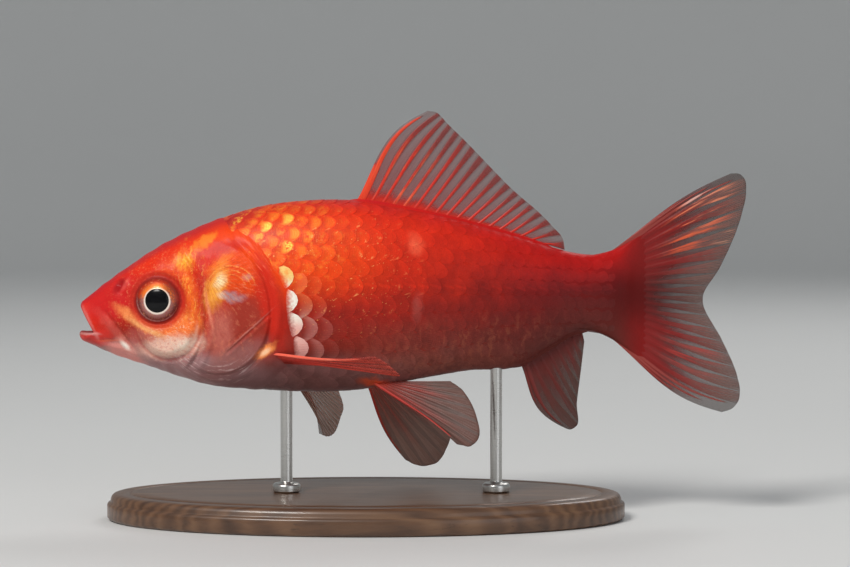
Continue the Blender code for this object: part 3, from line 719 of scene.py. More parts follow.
def scaleLook():
    # markings, with painted shade at each root behind the scale ahead and a painted highlight at the rim;
    # gold or pearl in the bare part of some; bright dashes on rims as painted highlights, and fine rays and
    # rings pressed in
    paint = Paint("goldfish_scales")
    colour, metal, warped = paintMarkings(paint)
    place = paint.place()
    station = paint.part(place, "X")
    along, across = paint.attribute("along"), paint.attribute("across")
    side = across.alone("ABSOLUTE")
    bare = paint.attribute("past").step(0.0, 0.9)
    grain = paint.noise(place, 2.6, 3.0, 0.6)
    streaks = paint.noise(paint.stretched(warped, (0.9, 1.0, 2.4)), 1.1, 3.0, 0.6)
    colour = paint.scaled(colour, 0.93 + paint.attribute("chance") * 0.14)
    calmed = 1 - station.step(*scaleTones["calm"]) * scaleTones["calmAmount"]
    # painted shade at each scale's root, behind the rim of the scale ahead, and a painted highlight at its
    # rim
    root = (1 - along.step(0.46, 0.90)) * (0.04 + grain * 0.20) * calmed
    edge = along.step(0.86, 1.0) * grain * 0.12 * calmed
    colour = paint.scaled(colour, 1 + ((streaks - 0.5) * 0.5 - root + edge) * bare)
    colour, leaf = gilded(paint, colour, side, bare)
    colour, pearl = pearled(paint, colour, side, grain)
    patches = paint.noise(place, 0.75, 4.0, 0.65).step(0.50, 0.70) * bare * 0.65
    colour = paint.mix(patches * paint.spot(place, *scaleTones["frontPlace"]), colour, scaleTones["front"])
    onLow = paint.spot(place, *scaleTones["lowPlace"]) * bare * 0.27
    colour = paint.mottle(colour, streaks, onLow, *scaleTones["low"])
    colour = glinting(paint, colour, bare)
    line = paint.attribute("pored") * (1 - side.step(0.08, 0.16)) * along.step(0.5, 0.6)
    line = line * station.step(36, 44)
    colour = paint.scaled(colour, 1 + line * 0.16)
    rays = (across * 34).alone("SINE")
    rings = (along * 70).alone("SINE")
    height = rays * 0.35 * along.step(0.45, 0.8) + rings * 0.2 + grain * 0.8
    return paint.finish(
        Colour=colour,
        Metallic=(metal * 0.5).most(leaf * 0.25).most(pearl * 0.12),
        Roughness=0.36 - leaf * 0.08 - pearl * 0.06 + grain * 0.10,
        Gloss=0.16,
        Normal=paint.bump(height, 0.03, 0.5),
        CoatWeight=0.06,
        CoatRoughness=0.2,
    )


eyeTones = {
    "upper": ((0.95, 0.22, 0.03), (0.50, 0.026, 0.007)),  # near the pupil, at the rim
    "lower": ((0.40, 0.17, 0.155), (0.11, 0.014, 0.012)),
    "streaks": ((0.34, 0.024, 0.012), (0.85, 0.30, 0.13)),
    "dusk": (0.22, 0.050, 0.036),
    "rim": (0.24, 0.016, 0.012),
    "thread": (0.62, 0.30, 0.28),
    "ring": ((0.94, 0.80, 0.70), (1.0, 0.62, 0.40)),  # below, above
    "pupil": (0.003, 0.003, 0.004),
}


def eyeLook():
    # a black pupil, a thin bright ring, then an iris, orange above and dusky rose below, dark at its rim
    paint = Paint("goldfish_eye")
    place = paint.place()
    local = paint.seenFromSide(place, (eye["station"], eye["level"]))
    x, z = paint.part(local, "X"), paint.part(local, "Z")
    reach = paint.length(local)
    streaks = paint.noise(paint.joined(paint.heading(local) * 2.2, reach * 1.3), 2.8, 4.0, 0.65)
    grain = paint.noise(place, 2.2, 3.0, 0.6) - 0.5
    upper = (z + x * 0.10 + grain * 1.8).step(-0.5, 0.9)
    outward = (reach + (streaks - 0.5) * 1.4).step(2.1, 2.9)
    low, high = paint.mix(outward, *eyeTones["lower"]), paint.mix(outward, *eyeTones["upper"])
    colour = paint.mottle(paint.mix(upper, low, high), streaks, 0.5, *eyeTones["streaks"])
    dusk = paint.spot(place, (eye["station"] + 2.3, eye["level"] + 1.2), (1.3, 1.7), 0, 0.7)
    colour = paint.mix(dusk * streaks.step(0.35, 0.55) * 0.8, colour, eyeTones["dusk"])
    colour = paint.mix(reach.step(2.75, 3.3) * 0.8, colour, eyeTones["rim"])
    thread = reach.band(3.0, 3.12, 0.12) * (1 - (z + x * 0.4).step(-1.6, -0.4)) * streaks.step(0.3, 0.5)
    colour = paint.mix(thread * 0.6, colour, eyeTones["thread"])
    ring = 1 - (reach + grain * 0.22 + z * 0.03).step(1.88, 2.12)
    colour = paint.mix(ring, colour, paint.mix(z.step(0.6, 2.0), *eyeTones["ring"]))
    pupil = 1 - reach.step(eye["pupil"] - 0.03, eye["pupil"] + 0.04)
    colour = paint.mix(pupil, colour, eyeTones["pupil"])
    height = streaks * (1 - pupil) * reach.step(1.9, 2.3)
    return paint.finish(
        Colour=colour,
        Metallic=(1 - pupil) * 0.12,
        Roughness=0.32 - pupil * 0.12,
        Gloss=0.15,
        Normal=paint.bump(height, 0.05, 0.5),
        CoatWeight=0.12,
        CoatRoughness=0.06,
    )


def finLook(name, tones):
    # rays that fork towards the margin and pale with reach, with painted highlights on some, over a thin web
    # that lets light through
    paint = Paint(name)
    place = paint.place()
    lane, reach = paint.attribute("lane"), paint.attribute("reach")
    spine = paint.attribute("spine")
    grain = paint.noise(place, 1.1, 3.0, 0.6)
    fine = paint.noise(place, 6.0, 2.0)
    away = ((lane + 0.5).alone("FRACT") - 0.5).alone("ABSOLUTE")
    bundle = (1 - (away / (0.12 + reach * tones["bundle"])).step(0.5, 1.3)) * paint.attribute("rayed")
    for first, spread in tones["forks"]:
        away = (away - reach.step(first, 1.0) * spread).alone("ABSOLUTE")
    rootWide, tipWide = tones["wide"]
    wide = rootWide + (tipWide - rootWide) * reach
    ray = (1 - (away / wide).step(0.5, 1.3)) * paint.attribute("rayed")
    number = (lane + 0.5).alone("FLOOR")
    luck = paint.node("ShaderNodeTexWhiteNoise", {"noise_dimensions": "1D"}, {"W": number}, "Value")
    wander = (grain - 0.5) * 0.30 + (luck - 0.5) * 0.25
    fade = (reach + wander).step(*tones["fade"])
    rays = paint.mix(fade, tones["root"], tones["tip"])
    rays = paint.mix(spine.step(0.2, 0.8) * 0.9, rays, tones["spine"])
    threads = paint.noise(paint.joined(lane * 3, reach * 2.2), 1.3, 3.0, 0.6)
    # painted highlights streaked along some rays
    for centre, radii, turn, shade in tones["glints"]:
        glint = paint.spot(place, centre, radii, turn, 0.8) * (threads + (luck - 0.5) * 0.15).step(0.46, 0.66)
        glint = glint * reach.step(*tones["glintFrom"])
        rays = paint.mix(glint * 0.85, rays, shade)
    bare = (reach + wander * 0.12).step(*tones["sheath"])
    webs = paint.mix(bare, tones["root"], tones["rootWeb"])
    webs = paint.mix(fade, webs, tones["web"])
    webs = paint.mix(bundle * 0.6, webs, tones["tip"])
    solid = ray.most(spine.step(0.1, 0.6))
    colour = paint.scaled(paint.mix(solid, webs, rays), 0.86 + fine * 0.28)
    for centre, radii, turn, amount in tones["dusk"]:
        colour = paint.scaled(colour, 1 - paint.spot(place, centre, radii, turn, 0.8) * amount)
    colour = paint.mix(1 - reach.step(0.0, tones["stemReach"]), colour, tones["stem"])
    rootClear, tipClear = tones["cover"]
    clear = rootClear + (tipClear - rootClear) * (reach + wander * 0.5).step(0.0, 0.9)
    opaque = solid.most((1 - bare) * 0.95).most(bundle * 0.5) * (0.97 - fade * tones["thinTips"])
    alpha = clear + (1 - clear) * opaque
    joints = (reach * 260).alone("SINE")
    height = joints * 0.4 * ray + fine * 0.5
    return paint.finish(
        Colour=colour,
        Roughness=0.36 + grain * 0.12,
        Alpha=alpha,
        Gloss=0.25,
        Normal=paint.bump(height, 0.03, 0.45),
        CoatWeight=0.06,
        CoatRoughness=0.2,
    )


def walnutLook():
    # long grain from stretched noise, rings from a wave, and a satin varnish
    paint = Paint("walnut")
    place = paint.place()
    drawn = paint.stretched(place, (16.0, 2.4, 2.4), turn=2.0)
    drift = paint.noise(drawn, 0.9, 4.0, 0.6)
    wave = {"Vector": drawn, "Scale": 0.55, "Distortion": 7.0, "Detail": 3.0, "Detail Scale": 1.2}
    rings = paint.node("ShaderNodeTexWave", {"bands_direction": "Y"}, wave, "Fac")
    pores = paint.noise(paint.stretched(place, (9.0, 0.5, 0.5)), 1.0, 3.0, 0.7)
    shade = rings * 0.28 + drift * 0.72
    colour = paint.ramp(shade, stand["grain"])
    colour = paint.mix(pores.step(0.60, 0.72) * 0.55, colour, stand["pores"])
    return paint.finish(
        Colour=colour,
        Roughness=0.34 + pores * 0.16,
        Normal=paint.bump(pores, 0.05, 0.3),
        CoatWeight=0.35,
        CoatRoughness=0.12,
    )


def steelLook():
    # bright steel, brushed round the rod
    paint = Paint("brushed_steel")
    place = paint.place()
    brush = paint.noise(paint.stretched(place, (6.0, 6.0, 0.06)), 1.0, 3.0, 0.6)
    smear = paint.noise(place, 0.5, 2.0)
    colour = paint.mix(brush, *stand["steel"])
    return paint.finish(
        Colour=colour,
        Metallic=1.0,
        Roughness=0.20 + brush * 0.12 + smear * 0.06,
        Normal=paint.bump(brush, 0.01, 0.4),
    )


# the skin over head, trunk and tail stalk
mouth = {
    "upperLip": (0.46, 0.0, -0.55),  # the lips' middle line
    "lowerLip": (0.64, 0.0, -5.42),
    "corner": (2.75, 1.95, -4.8),
    "upperRadius": 0.45,
    "cornerRadius": 0.5,
    "lowerRadius": 0.78,
    "upperDip": -0.75,  # how far each lip points down for each step forward
    "lowerDip": -0.4,
    "throat": (5.6, 0.0, -4.5),
    "leadIn": 0.7,  # how straight the skin leaves the lips and meets the head
    "leadOut": 0.9,
    "dark": (12, 7),  # rings before the lips' outer edge between which the painted shade inside the mouth fades
}
skinGrid = {
    "around": 284,
    "evenness": 0.2,  # moves points from the back and belly to the sides
    "inMouth": 10,
    "onLips": 14,
    "onSnout": 26,
    "smoothLips": 12,  # rings behind the lips over which the head's relief sets in
    "stations": ((headFront, 31.0, 160), (31.0, 80.0, 92), (80.0, fleshEnd, 22)),  # from, to, rings
}
# a ridge or groove is its height or depth, its distance inside an outline and its half width
gillCover = {
    "centre": (21.1, -1.65),
    "long": 7.85,
    "above": 10.4,
    "below": 9.2,
    "front": (18.5, 22.5),  # stations between which its edge sets in
    "lift": 0.30,
    "edge": (-0.12, 0.22),
    "sag": (0.3, 3.5),
    "groove": (0.10, -0.3, 0.3),
    "lowGroove": (0.12, -0.3, 0.3),
    "band": (0.30, -1.25, 0.62),
    "bandGroove": (-0.06, -2.3, 0.4),
}
cheek = {
    "centre": (13.7, -3.2),
    "radii": (4.7, 5.2),
    "lift": 0.48,
    "edge": (-0.05, 1.2),
    "groove": (-0.26, -0.35, 0.3),
    "backCentre": (5.9, -1.7),  # of the curved edge behind the cheek
    "backRadius": 13.4,
    "backEdge": (0.16, -0.35, 0.4),
    "backGroove": (-0.24, 0.18, 0.25),
    "backFold": (0.14, 1.5, 0.35),
}
nose = {"place": (6.45, 2.35), "pit": (-0.40, 0, 0.75), "flap": (0.20, 1.10, 0.36)}
creases = {  # start, end, depth, half width
    "besideUpperJaw": ((3.9, -1.4), (8.6, -7.5), 0.20, 0.30),
    "underUpperJaw": ((3.0, -5.9), (6.6, -6.4), 0.06, 0.30),
    "acrossGillCover": ((29.0, -1.7), (22.4, -7.6), 0.20, 0.20),
    "besideCrease": ((28.0, -1.9), (22.6, -6.5), 0.08, 0.18),
    "lowerJaw": ((4.4, -7.4), (9.6, -8.9), 0.10, 0.35),
}
throatFolds = 0.05
finBase = {"centre": (28.9, -8.4), "radii": (1.3, 1.5), "lift": 0.42}
finRoots = {"above": (41.2, 70.5), "below": (65.8, 76.2), "lift": 0.34, "halfWide": 0.42}
shoulder = {  # height: where the first scales begin
    13.5: 20.2, 11.4: 21.8, 8.8: 23.4, 6.9: 25.8, 5.1: 28.2, 4.0: 29.9, 1.8: 30.8,
    -1.7: 30.9, -4.7: 31.3, -7.5: 31.8, -9.0: 31.2, -11.5: 28.5, -13.3: 26.8,
}
coat = {
    "depth": 0.17,  # how far the skin lies inside the solids, under the scales
    "lastStation": 81.0,
    "start": 31.0,  # the station of place 0 in each row
    "pitch": 2.12,  # from one place to the next
    "narrowing": 0.0105,  # half of what each pitch is shorter than the one before
    "places": (-6, 28),  # the first and last of a row
    "rows": 9,  # above and below the lateral line
    "lateralLine": {  # its height by station
        16: 8.4, 27: 5.4, 30: 4.1, 33: 3.0, 35: 2.6, 38: 2.4, 44: 2.6, 60: 2.2, 75: 1.75, 86: 1.2,
    },
    "rowsAbove": {16: 2.1, 27: 2.15, 36: 2.45, 45: 2.45, 55: 2.3, 66: 2.1, 86: 1.85},  # how tall, by station
    "rowsBelow": {16: 3.1, 27: 3.3, 33: 3.3, 45: 3.0, 55: 2.7, 66: 2.3, 86: 1.85},
    "midline": {20: 2.3, 40: 2.5, 80: 1.8},  # how tall the midline's row is, by station
    "midlinePitch": 1.95,
    "midlineGaps": (0.30, 0.42),  # rows that the side's coats keep from the back's and the belly's midline
    "nape": (21.6, 41.4, 0),  # stretches of the midline: first and last station, over the back 0 or belly 1
    "rump": (71.2, 79.4, 0),
    "belly": (27.4, 65.4, 1),
    "underTail": (76.6, 79.4, 1),
    "grid": (7, 6),  # points across and along one scale
    "length": 1.95,  # of a scale, in pitches
    "ahead": 1.25,  # how far its root is ahead of its place, in pitches
    "halfWide": 0.62,  # in rows
    "round": 0.85,  # 1 makes the hind edge a half circle
    "rootRound": 0.22,
    "root": -0.04,  # height of the sunken root over the scaled body
    "lift": 0.075,  # how much higher the hind edge stands
    "dome": 0.035,  # how much higher the middle stands than the sides
    "pore": 0.02,  # height of the lateral line's ridge
    "thick": 0.035,
    "slant": -0.2,  # how far each row under the lateral line lags the one above behind the head, in pitches
    "jitter": 0.035,  # spread of each scale's place
    "uneven": 0.12,  # spread of each scale's lift
    "flatter": ((82, 75, 0.3), (66, 46, 0.68)),  # scales lie flatter towards the tail: to, from, share left
    "goldCentre": (27.0, 10.2),
    "goldRadii": (8.0, 4.2),
    "silverColumns": ((0.0, 1.0), (1.95, 0.20), (3.9, 0.06)),  # mm behind the first row, how silver
    "silverTop": (5.2, 4.2),
    "silverBottom": (-8.6, -7.2),
    "patch": 0.003,  # of one scale on the OFBake map
}


def firstScales(z):
    # the station where the bare shoulder ends, at a height
    heights = list(shoulder)[::-1]
    return np.interp(z, heights, [shoulder[h] for h in heights])


def lipLine(angle):
    # the lips' middle line, their outward and forward directions and their radius
    c, s = np.cos(angle)[:, None], np.sin(angle)[:, None]
    upper = c > 0
    tip = np.where(upper, mouth["upperLip"], mouth["lowerLip"])
    corner = np.array(mouth["corner"]) * [1, 0, 1]
    middle = corner + (tip - corner) * np.abs(c)
    middle[:, 1:2] = -mouth["corner"][1] * s
    outward = np.concatenate([np.zeros_like(c), -s, c], axis=1)
    dip = np.where(upper, mouth["upperDip"] * c, mouth["lowerDip"] * c)
    forward = np.concatenate([-np.ones_like(c), np.zeros_like(c), dip], axis=1)
    forward /= np.linalg.norm(forward, axis=1, keepdims=True)
    tipRadius = np.where(upper, mouth["upperRadius"], mouth["lowerRadius"])
    radius = mouth["cornerRadius"] + (tipRadius - mouth["cornerRadius"]) * np.abs(c)
    return middle, outward, forward, radius


def snoutSurface(angle):
    # rings from inside the mouth, half way round each lip, and by a cubic to the first section of the head
    middle, outward, forward, radius = lipLine(angle)
    throat = np.array(mouth["throat"])
    t = np.linspace(1, 0, skinGrid["inMouth"], endpoint=False)[1:, None, None]
    closing = np.sqrt(1 - t**2)
    grow = np.concatenate([1 - t, closing, closing], axis=2)
    inMouth = throat + (middle - radius * outward - throat) * grow
    roll = np.linspace(np.pi, 0, skinGrid["onLips"])[:, None, None]
    onLips = middle + radius * (np.cos(roll) * outward + np.sin(roll) * forward)
    lip = onLips[-1]
    root = section(np.full(len(angle), headFront), angle)
    small = 0.5
    slope = (section(np.full(len(angle), headFront + small), angle) - root) / small
    reach = np.linalg.norm(root - lip, axis=1, keepdims=True)
    leadIn = -forward * reach * mouth["leadIn"]
    leadOut = slope * reach * mouth["leadOut"]
    t = np.linspace(0, 1, skinGrid["onSnout"] + 1)[1:, None, None]
    fromLip = (1 + 2 * t) * (1 - t) ** 2 * lip + t * (1 - t) ** 2 * leadIn
    toRoot = t**2 * (3 - 2 * t) * root + t**2 * (t - 1) * leadOut
    return np.concatenate([inMouth, onLips, fromLip + toRoot])


def fromEyeCentre(x, z):
    return np.hypot(x - eye["station"], z - eye["level"])


def ballMiddle():
    # how far the eyeball's centre lies from the midline
    return float(skinY(eye["station"], eye["level"])) + eye["proud"] - eye["depth"]


def ballHeight(x, z):
    # the eyeball's outer surface, as a distance from the midline
    tilt = eye["turnForward"] * (x - eye["station"]) + eye["turnUp"] * (z - eye["level"])
    nearRim = eye["radius"] - 0.25
    dome = np.sqrt(1 - (np.minimum(fromEyeCentre(x, z), nearRim) / eye["radius"]) ** 2)
    return ballMiddle() + eye["depth"] * dome + tilt


def sunkSockets(points):
    # near an eye the skin bends to meet the ball at the opening's edge and then dives under it
    x, y, z = points[..., 0], points[..., 1], points[..., 2]
    reach = fromEyeCentre(x, z)
    lid = ballHeight(x, z) + 0.5 * np.clip(reach - eye["open"], -1.4, 0.3)
    away = softStep(*eye["lidsBlend"], reach)
    near = (reach < 6) & (np.abs(y) > 2)
    sunk = lid * (1 - away) + np.abs(y) * away + ridge(reach, eye["lids"])
    points[..., 1] = np.where(near, np.sign(y) * sunk, y)
    return points


def gillCoverRelief(x, z, inside):
    # an edge that stands up and sags inwards, a groove outside it, deeper below, and a rounded band behind
    _, centreZ = gillCover["centre"]
    sag = 1 - 0.5 * softStep(*gillCover["sag"], inside)
    height = gillCover["lift"] * softStep(*gillCover["edge"], inside) * sag
    height -= ridge(inside, gillCover["groove"])
    height -= ridge(inside, gillCover["lowGroove"]) * softStep(-1.0, -7.0, z)
    height *= softStep(*gillCover["front"], x - 0.25 * (z - centreZ)) * (1 - 0.5 * softStep(3.0, 7.0, z))
    band = softStep(-7.5, -4.5, z) * softStep(22.0, 25.0, x) * (1 - 0.6 * softStep(1.0, 7.0, z))
    return height + (ridge(inside, gillCover["band"]) + ridge(inside, gillCover["bandGroove"])) * band


def cheekRelief(x, z):
    # a plate that stands out below, with a groove round it, and the curved edge and groove behind it
    (cheekX, cheekZ), (cheekLong, cheekHigh) = cheek["centre"], cheek["radii"]
    plate = (1 - np.hypot((x - cheekX) / cheekLong, (z - cheekZ) / cheekHigh)) * cheekLong
    height = cheek["lift"] * softStep(*cheek["edge"], plate) + ridge(plate, cheek["groove"])
    height *= softStep(-2.4, -5.0, z)
    backX, backZ = cheek["backCentre"]
    past = np.hypot(x - backX, z - backZ) - cheek["backRadius"]
    alongEdge = softStep(7.5, 5.5, z) * softStep(-10.5, -8.5, z) * (x > 14)
    back = ridge(past, cheek["backEdge"]) + ridge(past, cheek["backGroove"])
    return height + (back + ridge(past, cheek["backFold"]) * softStep(2.5, 0.5, z)) * alongEdge


def creaseRelief(x, z):
    # a groove along each crease's line with a low swelling on both sides, fading out at its ends
    height = 0
    for start, end, depth, wide in creases.values():
        (x0, z0), (x1, z1) = start, end
        share = ((x - x0) * (x1 - x0) + (z - z0) * (z1 - z0)) / ((x1 - x0) ** 2 + (z1 - z0) ** 2)
        away = np.hypot(x - x0 - share * (x1 - x0), z - z0 - share * (z1 - z0))
        fade = softStep(-0.1, 0.12, share) * softStep(1.1, 0.88, share)
        height += (0.5 * depth * hump(away, 2.2 * wide, wide) - depth * hump(away, 0, wide)) * fade
    return height


def headRelief(x, z):
    # plates, creases, nostrils, throat folds and the pectoral fin's shoulder, by place on the side
    centreX, centreZ = gillCover["centre"]
    high = np.where(z > centreZ, gillCover["above"], gillCover["below"])
    inside = (1 - np.hypot((x - centreX) / gillCover["long"], (z - centreZ) / high)) * gillCover["long"]
    height = gillCoverRelief(x, z, inside) + cheekRelief(x, z) + creaseRelief(x, z)
    noseX, noseZ = nose["place"]
    fromNose = np.hypot(x - noseX, z - noseZ)
    height += ridge(fromNose, nose["pit"])
    height += ridge(fromNose, nose["flap"]) * softStep(-0.5, 0.6, x - noseX + 0.4 * (z - noseZ))
    throat = softStep(-8.6, -10.4, z) * softStep(10, 13, x) * softStep(27.5, 24.5, x)
    height += throatFolds * np.sin(inside * 5.2 + 0.25 * x) * throat * softStep(0.4, -0.4, inside)
    (baseX, baseZ), (baseLong, baseHigh) = finBase["centre"], finBase["radii"]
    height += finBase["lift"] * hump(x, baseX, baseLong) * hump(z, baseZ, baseHigh)
    return height + 0.05 * np.sin(1.9 * x + 0.7 * z) * np.sin(1.3 * z - 0.5 * x) * softStep(24, 18, x)


def bareSkin(x, z):
    # 0 under the scales and 1 on the bare head and at the tail fin's root
    scaled = softStep(-0.5, 1.1, x - firstScales(z)) * softStep(83.0, 80.0, x)
    return 1 - scaled


def skinHeights(points, lipRings):
    # how far each point moves out: the head's relief and a low ridge under each midline fin, less the
    # coat's depth
    x, y, z = points[..., 0], points[..., 1], points[..., 2]
    onFace = np.zeros(len(points))
    onFace[lipRings:] = softStep(0, skinGrid["smoothLips"], np.arange(len(points) - lipRings))
    height = headRelief(x, z) * onFace[:, None] * softStep(3.4, 4.4, fromEyeCentre(x, z))
    for (first, last), side in ((finRoots["above"], z > 0), (finRoots["below"], z < 0)):
        along = softStep(first - 1.2, first + 1, x) * softStep(last + 1, last - 1, x)
        height += finRoots["lift"] * hump(y, 0, finRoots["halfWide"]) * along * side
    return height - coat["depth"] * (1 - bareSkin(x, z))


def makeSkin(look):
    # rings from the throat over the lips and back to the tail fin's root, moved out along their normals
    turn = fullTurn(skinGrid["around"])
    angle = turn + skinGrid["evenness"] * np.sin(2 * turn)
    stations = np.concatenate([np.linspace(a, b, n + 1)[1:] for a, b, n in skinGrid["stations"]])
    points = np.concatenate([snoutSurface(angle), section(stations[:, None], angle[None, :])])
    rings, around = points.shape[:2]
    points = sunkSockets(points)
    normal = np.cross(np.roll(points, -1, axis=1) - np.roll(points, 1, axis=1), np.gradient(points, axis=0))
    normal /= np.linalg.norm(normal, axis=2, keepdims=True) + 1e-9
    lipRings = skinGrid["inMouth"] - 1 + skinGrid["onLips"]
    points = points + normal * skinHeights(points, lipRings)[..., None]
    allPoints, faces = closedRings(points, mouth["throat"], (fleshEnd + 0.1, 0.0, 0.6))
    skin = addPiece("skin", placed(allPoints), faces, look)
    # how much painted shade lies inside the mouth, for the mouth number
    darkTo, darkFrom = mouth["dark"]
    ring = np.arange(rings)
    inMouth = softStep(lipRings - darkFrom, lipRings - darkTo, ring) * (ring < lipRings)
    girth = np.tile(np.abs(1 - np.abs(angle - np.pi) / np.pi), rings)
    addNumbers(skin, girth=[*girth, 0.5, 0.5], mouth=[*np.repeat(inMouth, around), 1.0, 0.0])
    alongShare = np.repeat(np.linspace(0.01, 0.99, rings), around)
    aroundShare = np.tile(turn / (2 * np.pi), rings)
    addBakeMap(skin, [*alongShare, 0.005, 0.995], [*aroundShare, 0.5, 0.5], joins=True)
    covered = ("head", "upper_jaw", "lower_jaw", "gill_cover_left", "gill_cover_right", "trunk", "tail_stalk")
    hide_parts(*covered)
    print("skin:", rings, "rings of", around)


# the scales over the skin
girthStations = np.linspace(16.0, 86.0, 141)
girthShares = np.linspace(0, 1, 121)
girthAngles = np.linspace(0, np.pi, 241)


def measureGirth():
    # by station: the length round one side, the lateral line's length from the back, the angle by share
    points = section(girthStations[:, None], girthAngles[None, :])
    steps = np.linalg.norm(np.diff(points, axis=1), axis=2)
    arc = np.concatenate([np.zeros((len(girthStations), 1)), np.cumsum(steps, axis=1)], axis=1)
    whole = arc[:, -1]
    level = through(coat["lateralLine"], girthStations)
    lateral = [np.interp(h, row[::-1], run[::-1]) for h, row, run in zip(level, points[..., 2], arc)]
    angleAt = np.stack([np.interp(girthShares * w, run, girthAngles) for w, run in zip(whole, arc)])
    return whole, np.array(lateral), angleAt


wholeGirth, lateralArc, angleByShare = measureGirth()


def angleOf(x, share):
    # the section's angle at a station and a share of the way round, between the table's four nearest values
    row = (x - girthStations[0]) / (girthStations[1] - girthStations[0])
    column = share * (len(girthShares) - 1)
    i = np.clip(row.astype(int), 0, len(girthStations) - 2)
    j = np.clip(column.astype(int), 0, len(girthShares) - 2)
    u, v = row - i, column - j
    near = angleByShare[i, j] * (1 - v) + angleByShare[i, j + 1] * v
    far = angleByShare[i + 1, j] * (1 - v) + angleByShare[i + 1, j + 1] * v
    return near * (1 - u) + far * u


def overBody(x, arc, height, side):
    # the point above the body at a station and a length from the back, which may run over the midline
    whole = np.interp(x, girthStations, wholeGirth)
    over = (arc < 0) | (arc > whole)
    folded = np.where(arc < 0, -arc, np.where(arc > whole, 2 * whole - arc, arc))
    share = folded / whole
    angle = angleOf(x, share)
    small = 0.01
    ringward = section(x + small, angle) - section(x - small, angle)
    roundward = section(x, angle + small) - section(x, angle - small)
    normal = np.cross(roundward, ringward)
    normal /= np.linalg.norm(normal, axis=-1, keepdims=True)
    points = section(x, angle) + normal * height[..., None]
    points[..., 1] *= np.where(over, side, -side)
    return points, share


def scalePlaces():
    # rows along the body, every other one half a pitch on, kept to the scaled part of one side
    first, last = coat["places"]
    rows = np.arange(-coat["rows"], coat["rows"] + 1)
    row, place = np.meshgrid(rows, np.arange(first, last + 1), indexing="ij")
    count = place + 0.5 * (row % 2)
    x = coat["start"] + coat["pitch"] * count - coat["narrowing"] * count**2
    pitch = coat["pitch"] - 2 * coat["narrowing"] * count
    above, below = through(coat["rowsAbove"], x), through(coat["rowsBelow"], x)
    x = x + coat["slant"] * np.clip(-row, 0, None) * pitch * softStep(43, 31, x)
    tall = np.where(row > 0, above, below)
    arc = np.interp(x, girthStations, lateralArc) - row * tall
    whole = np.interp(x, girthStations, wholeGirth)
    middle, _ = overBody(x, arc, np.zeros_like(x), -1)
    z = middle[..., 2]
    topGap, lowGap = coat["midlineGaps"]
    keep = (arc > topGap * tall) & (arc < whole - lowGap * tall)
    keep &= (x > firstScales(z) - 0.15) & (x < coat["lastStation"])
    return [v[keep] for v in (x, arc, pitch, tall, z)] + [(row == 0)[keep]]


def midlinePlaces():
    # one row over the back, ahead of and behind its fin, and one under the belly
    found = []
    for stretch in ("nape", "rump", "belly", "underTail"):
        first, last, below = coat[stretch]
        count = int((last - first) / coat["midlinePitch"])
        x = np.linspace(first, last, count + 1)
        arc = below * np.interp(x, girthStations, wholeGirth)
        found.append(np.stack([x, arc, np.full_like(x, (last - first) / count)]))
    x, arc, pitch = np.concatenate(found, axis=1)
    z = np.where(arc > 0, bodyAt(x)[1], bodyAt(x)[0])
    tall = np.interp(x, list(coat["midline"]), list(coat["midline"].values()))
    return x, arc, pitch, tall, z, np.zeros(len(x), bool)


def scaleShape():
    # one scale as shares across and along it: a grid on top, and the rim again underneath
    columns, rows = coat["grid"]
    across, along = np.meshgrid(np.linspace(-1, 1, columns), np.linspace(0, 1, rows), indexing="ij")
    rim = gridRim(columns, rows)
    under = columns * rows + np.arange(len(rim))
    quads = np.concatenate([gridFaces(columns, rows), bandFaces(rim, under)])
    across, along = across.ravel(), along.ravel()
    low = np.concatenate([np.zeros(len(across)), np.ones(len(rim))])
    return np.append(across, across[rim]), np.append(along, along[rim]), low, quads, under


def goldShare(x, z, draw):
    # how golden a scale is: a patch on the shoulder, uneven by a draw for each scale; the gold is partly
    # painted highlight
    (middleX, middleZ), (long, high) = coat["goldCentre"], coat["goldRadii"]
    golden = np.exp(-(((x - middleX) / long) ** 2) - ((z - middleZ) / high) ** 2)
    return np.clip(golden * 1.6, 0, 1) * (0.35 + 0.65 * softStep(0.1, 0.8, draw))


def silverShare(x, z):
    # how silver a scale is: the first row behind the gill opening, and a little of the next two
    behind = x - (31.3 - 0.24 * z)
    columns = coat["silverColumns"]
    silver = sum(strength * softStep(1.2, 0.7, np.abs(behind - far)) for far, strength in columns)
    silver = silver * softStep(*coat["silverTop"], z) * softStep(*coat["silverBottom"], z)
    return np.clip(silver, 0, 1)


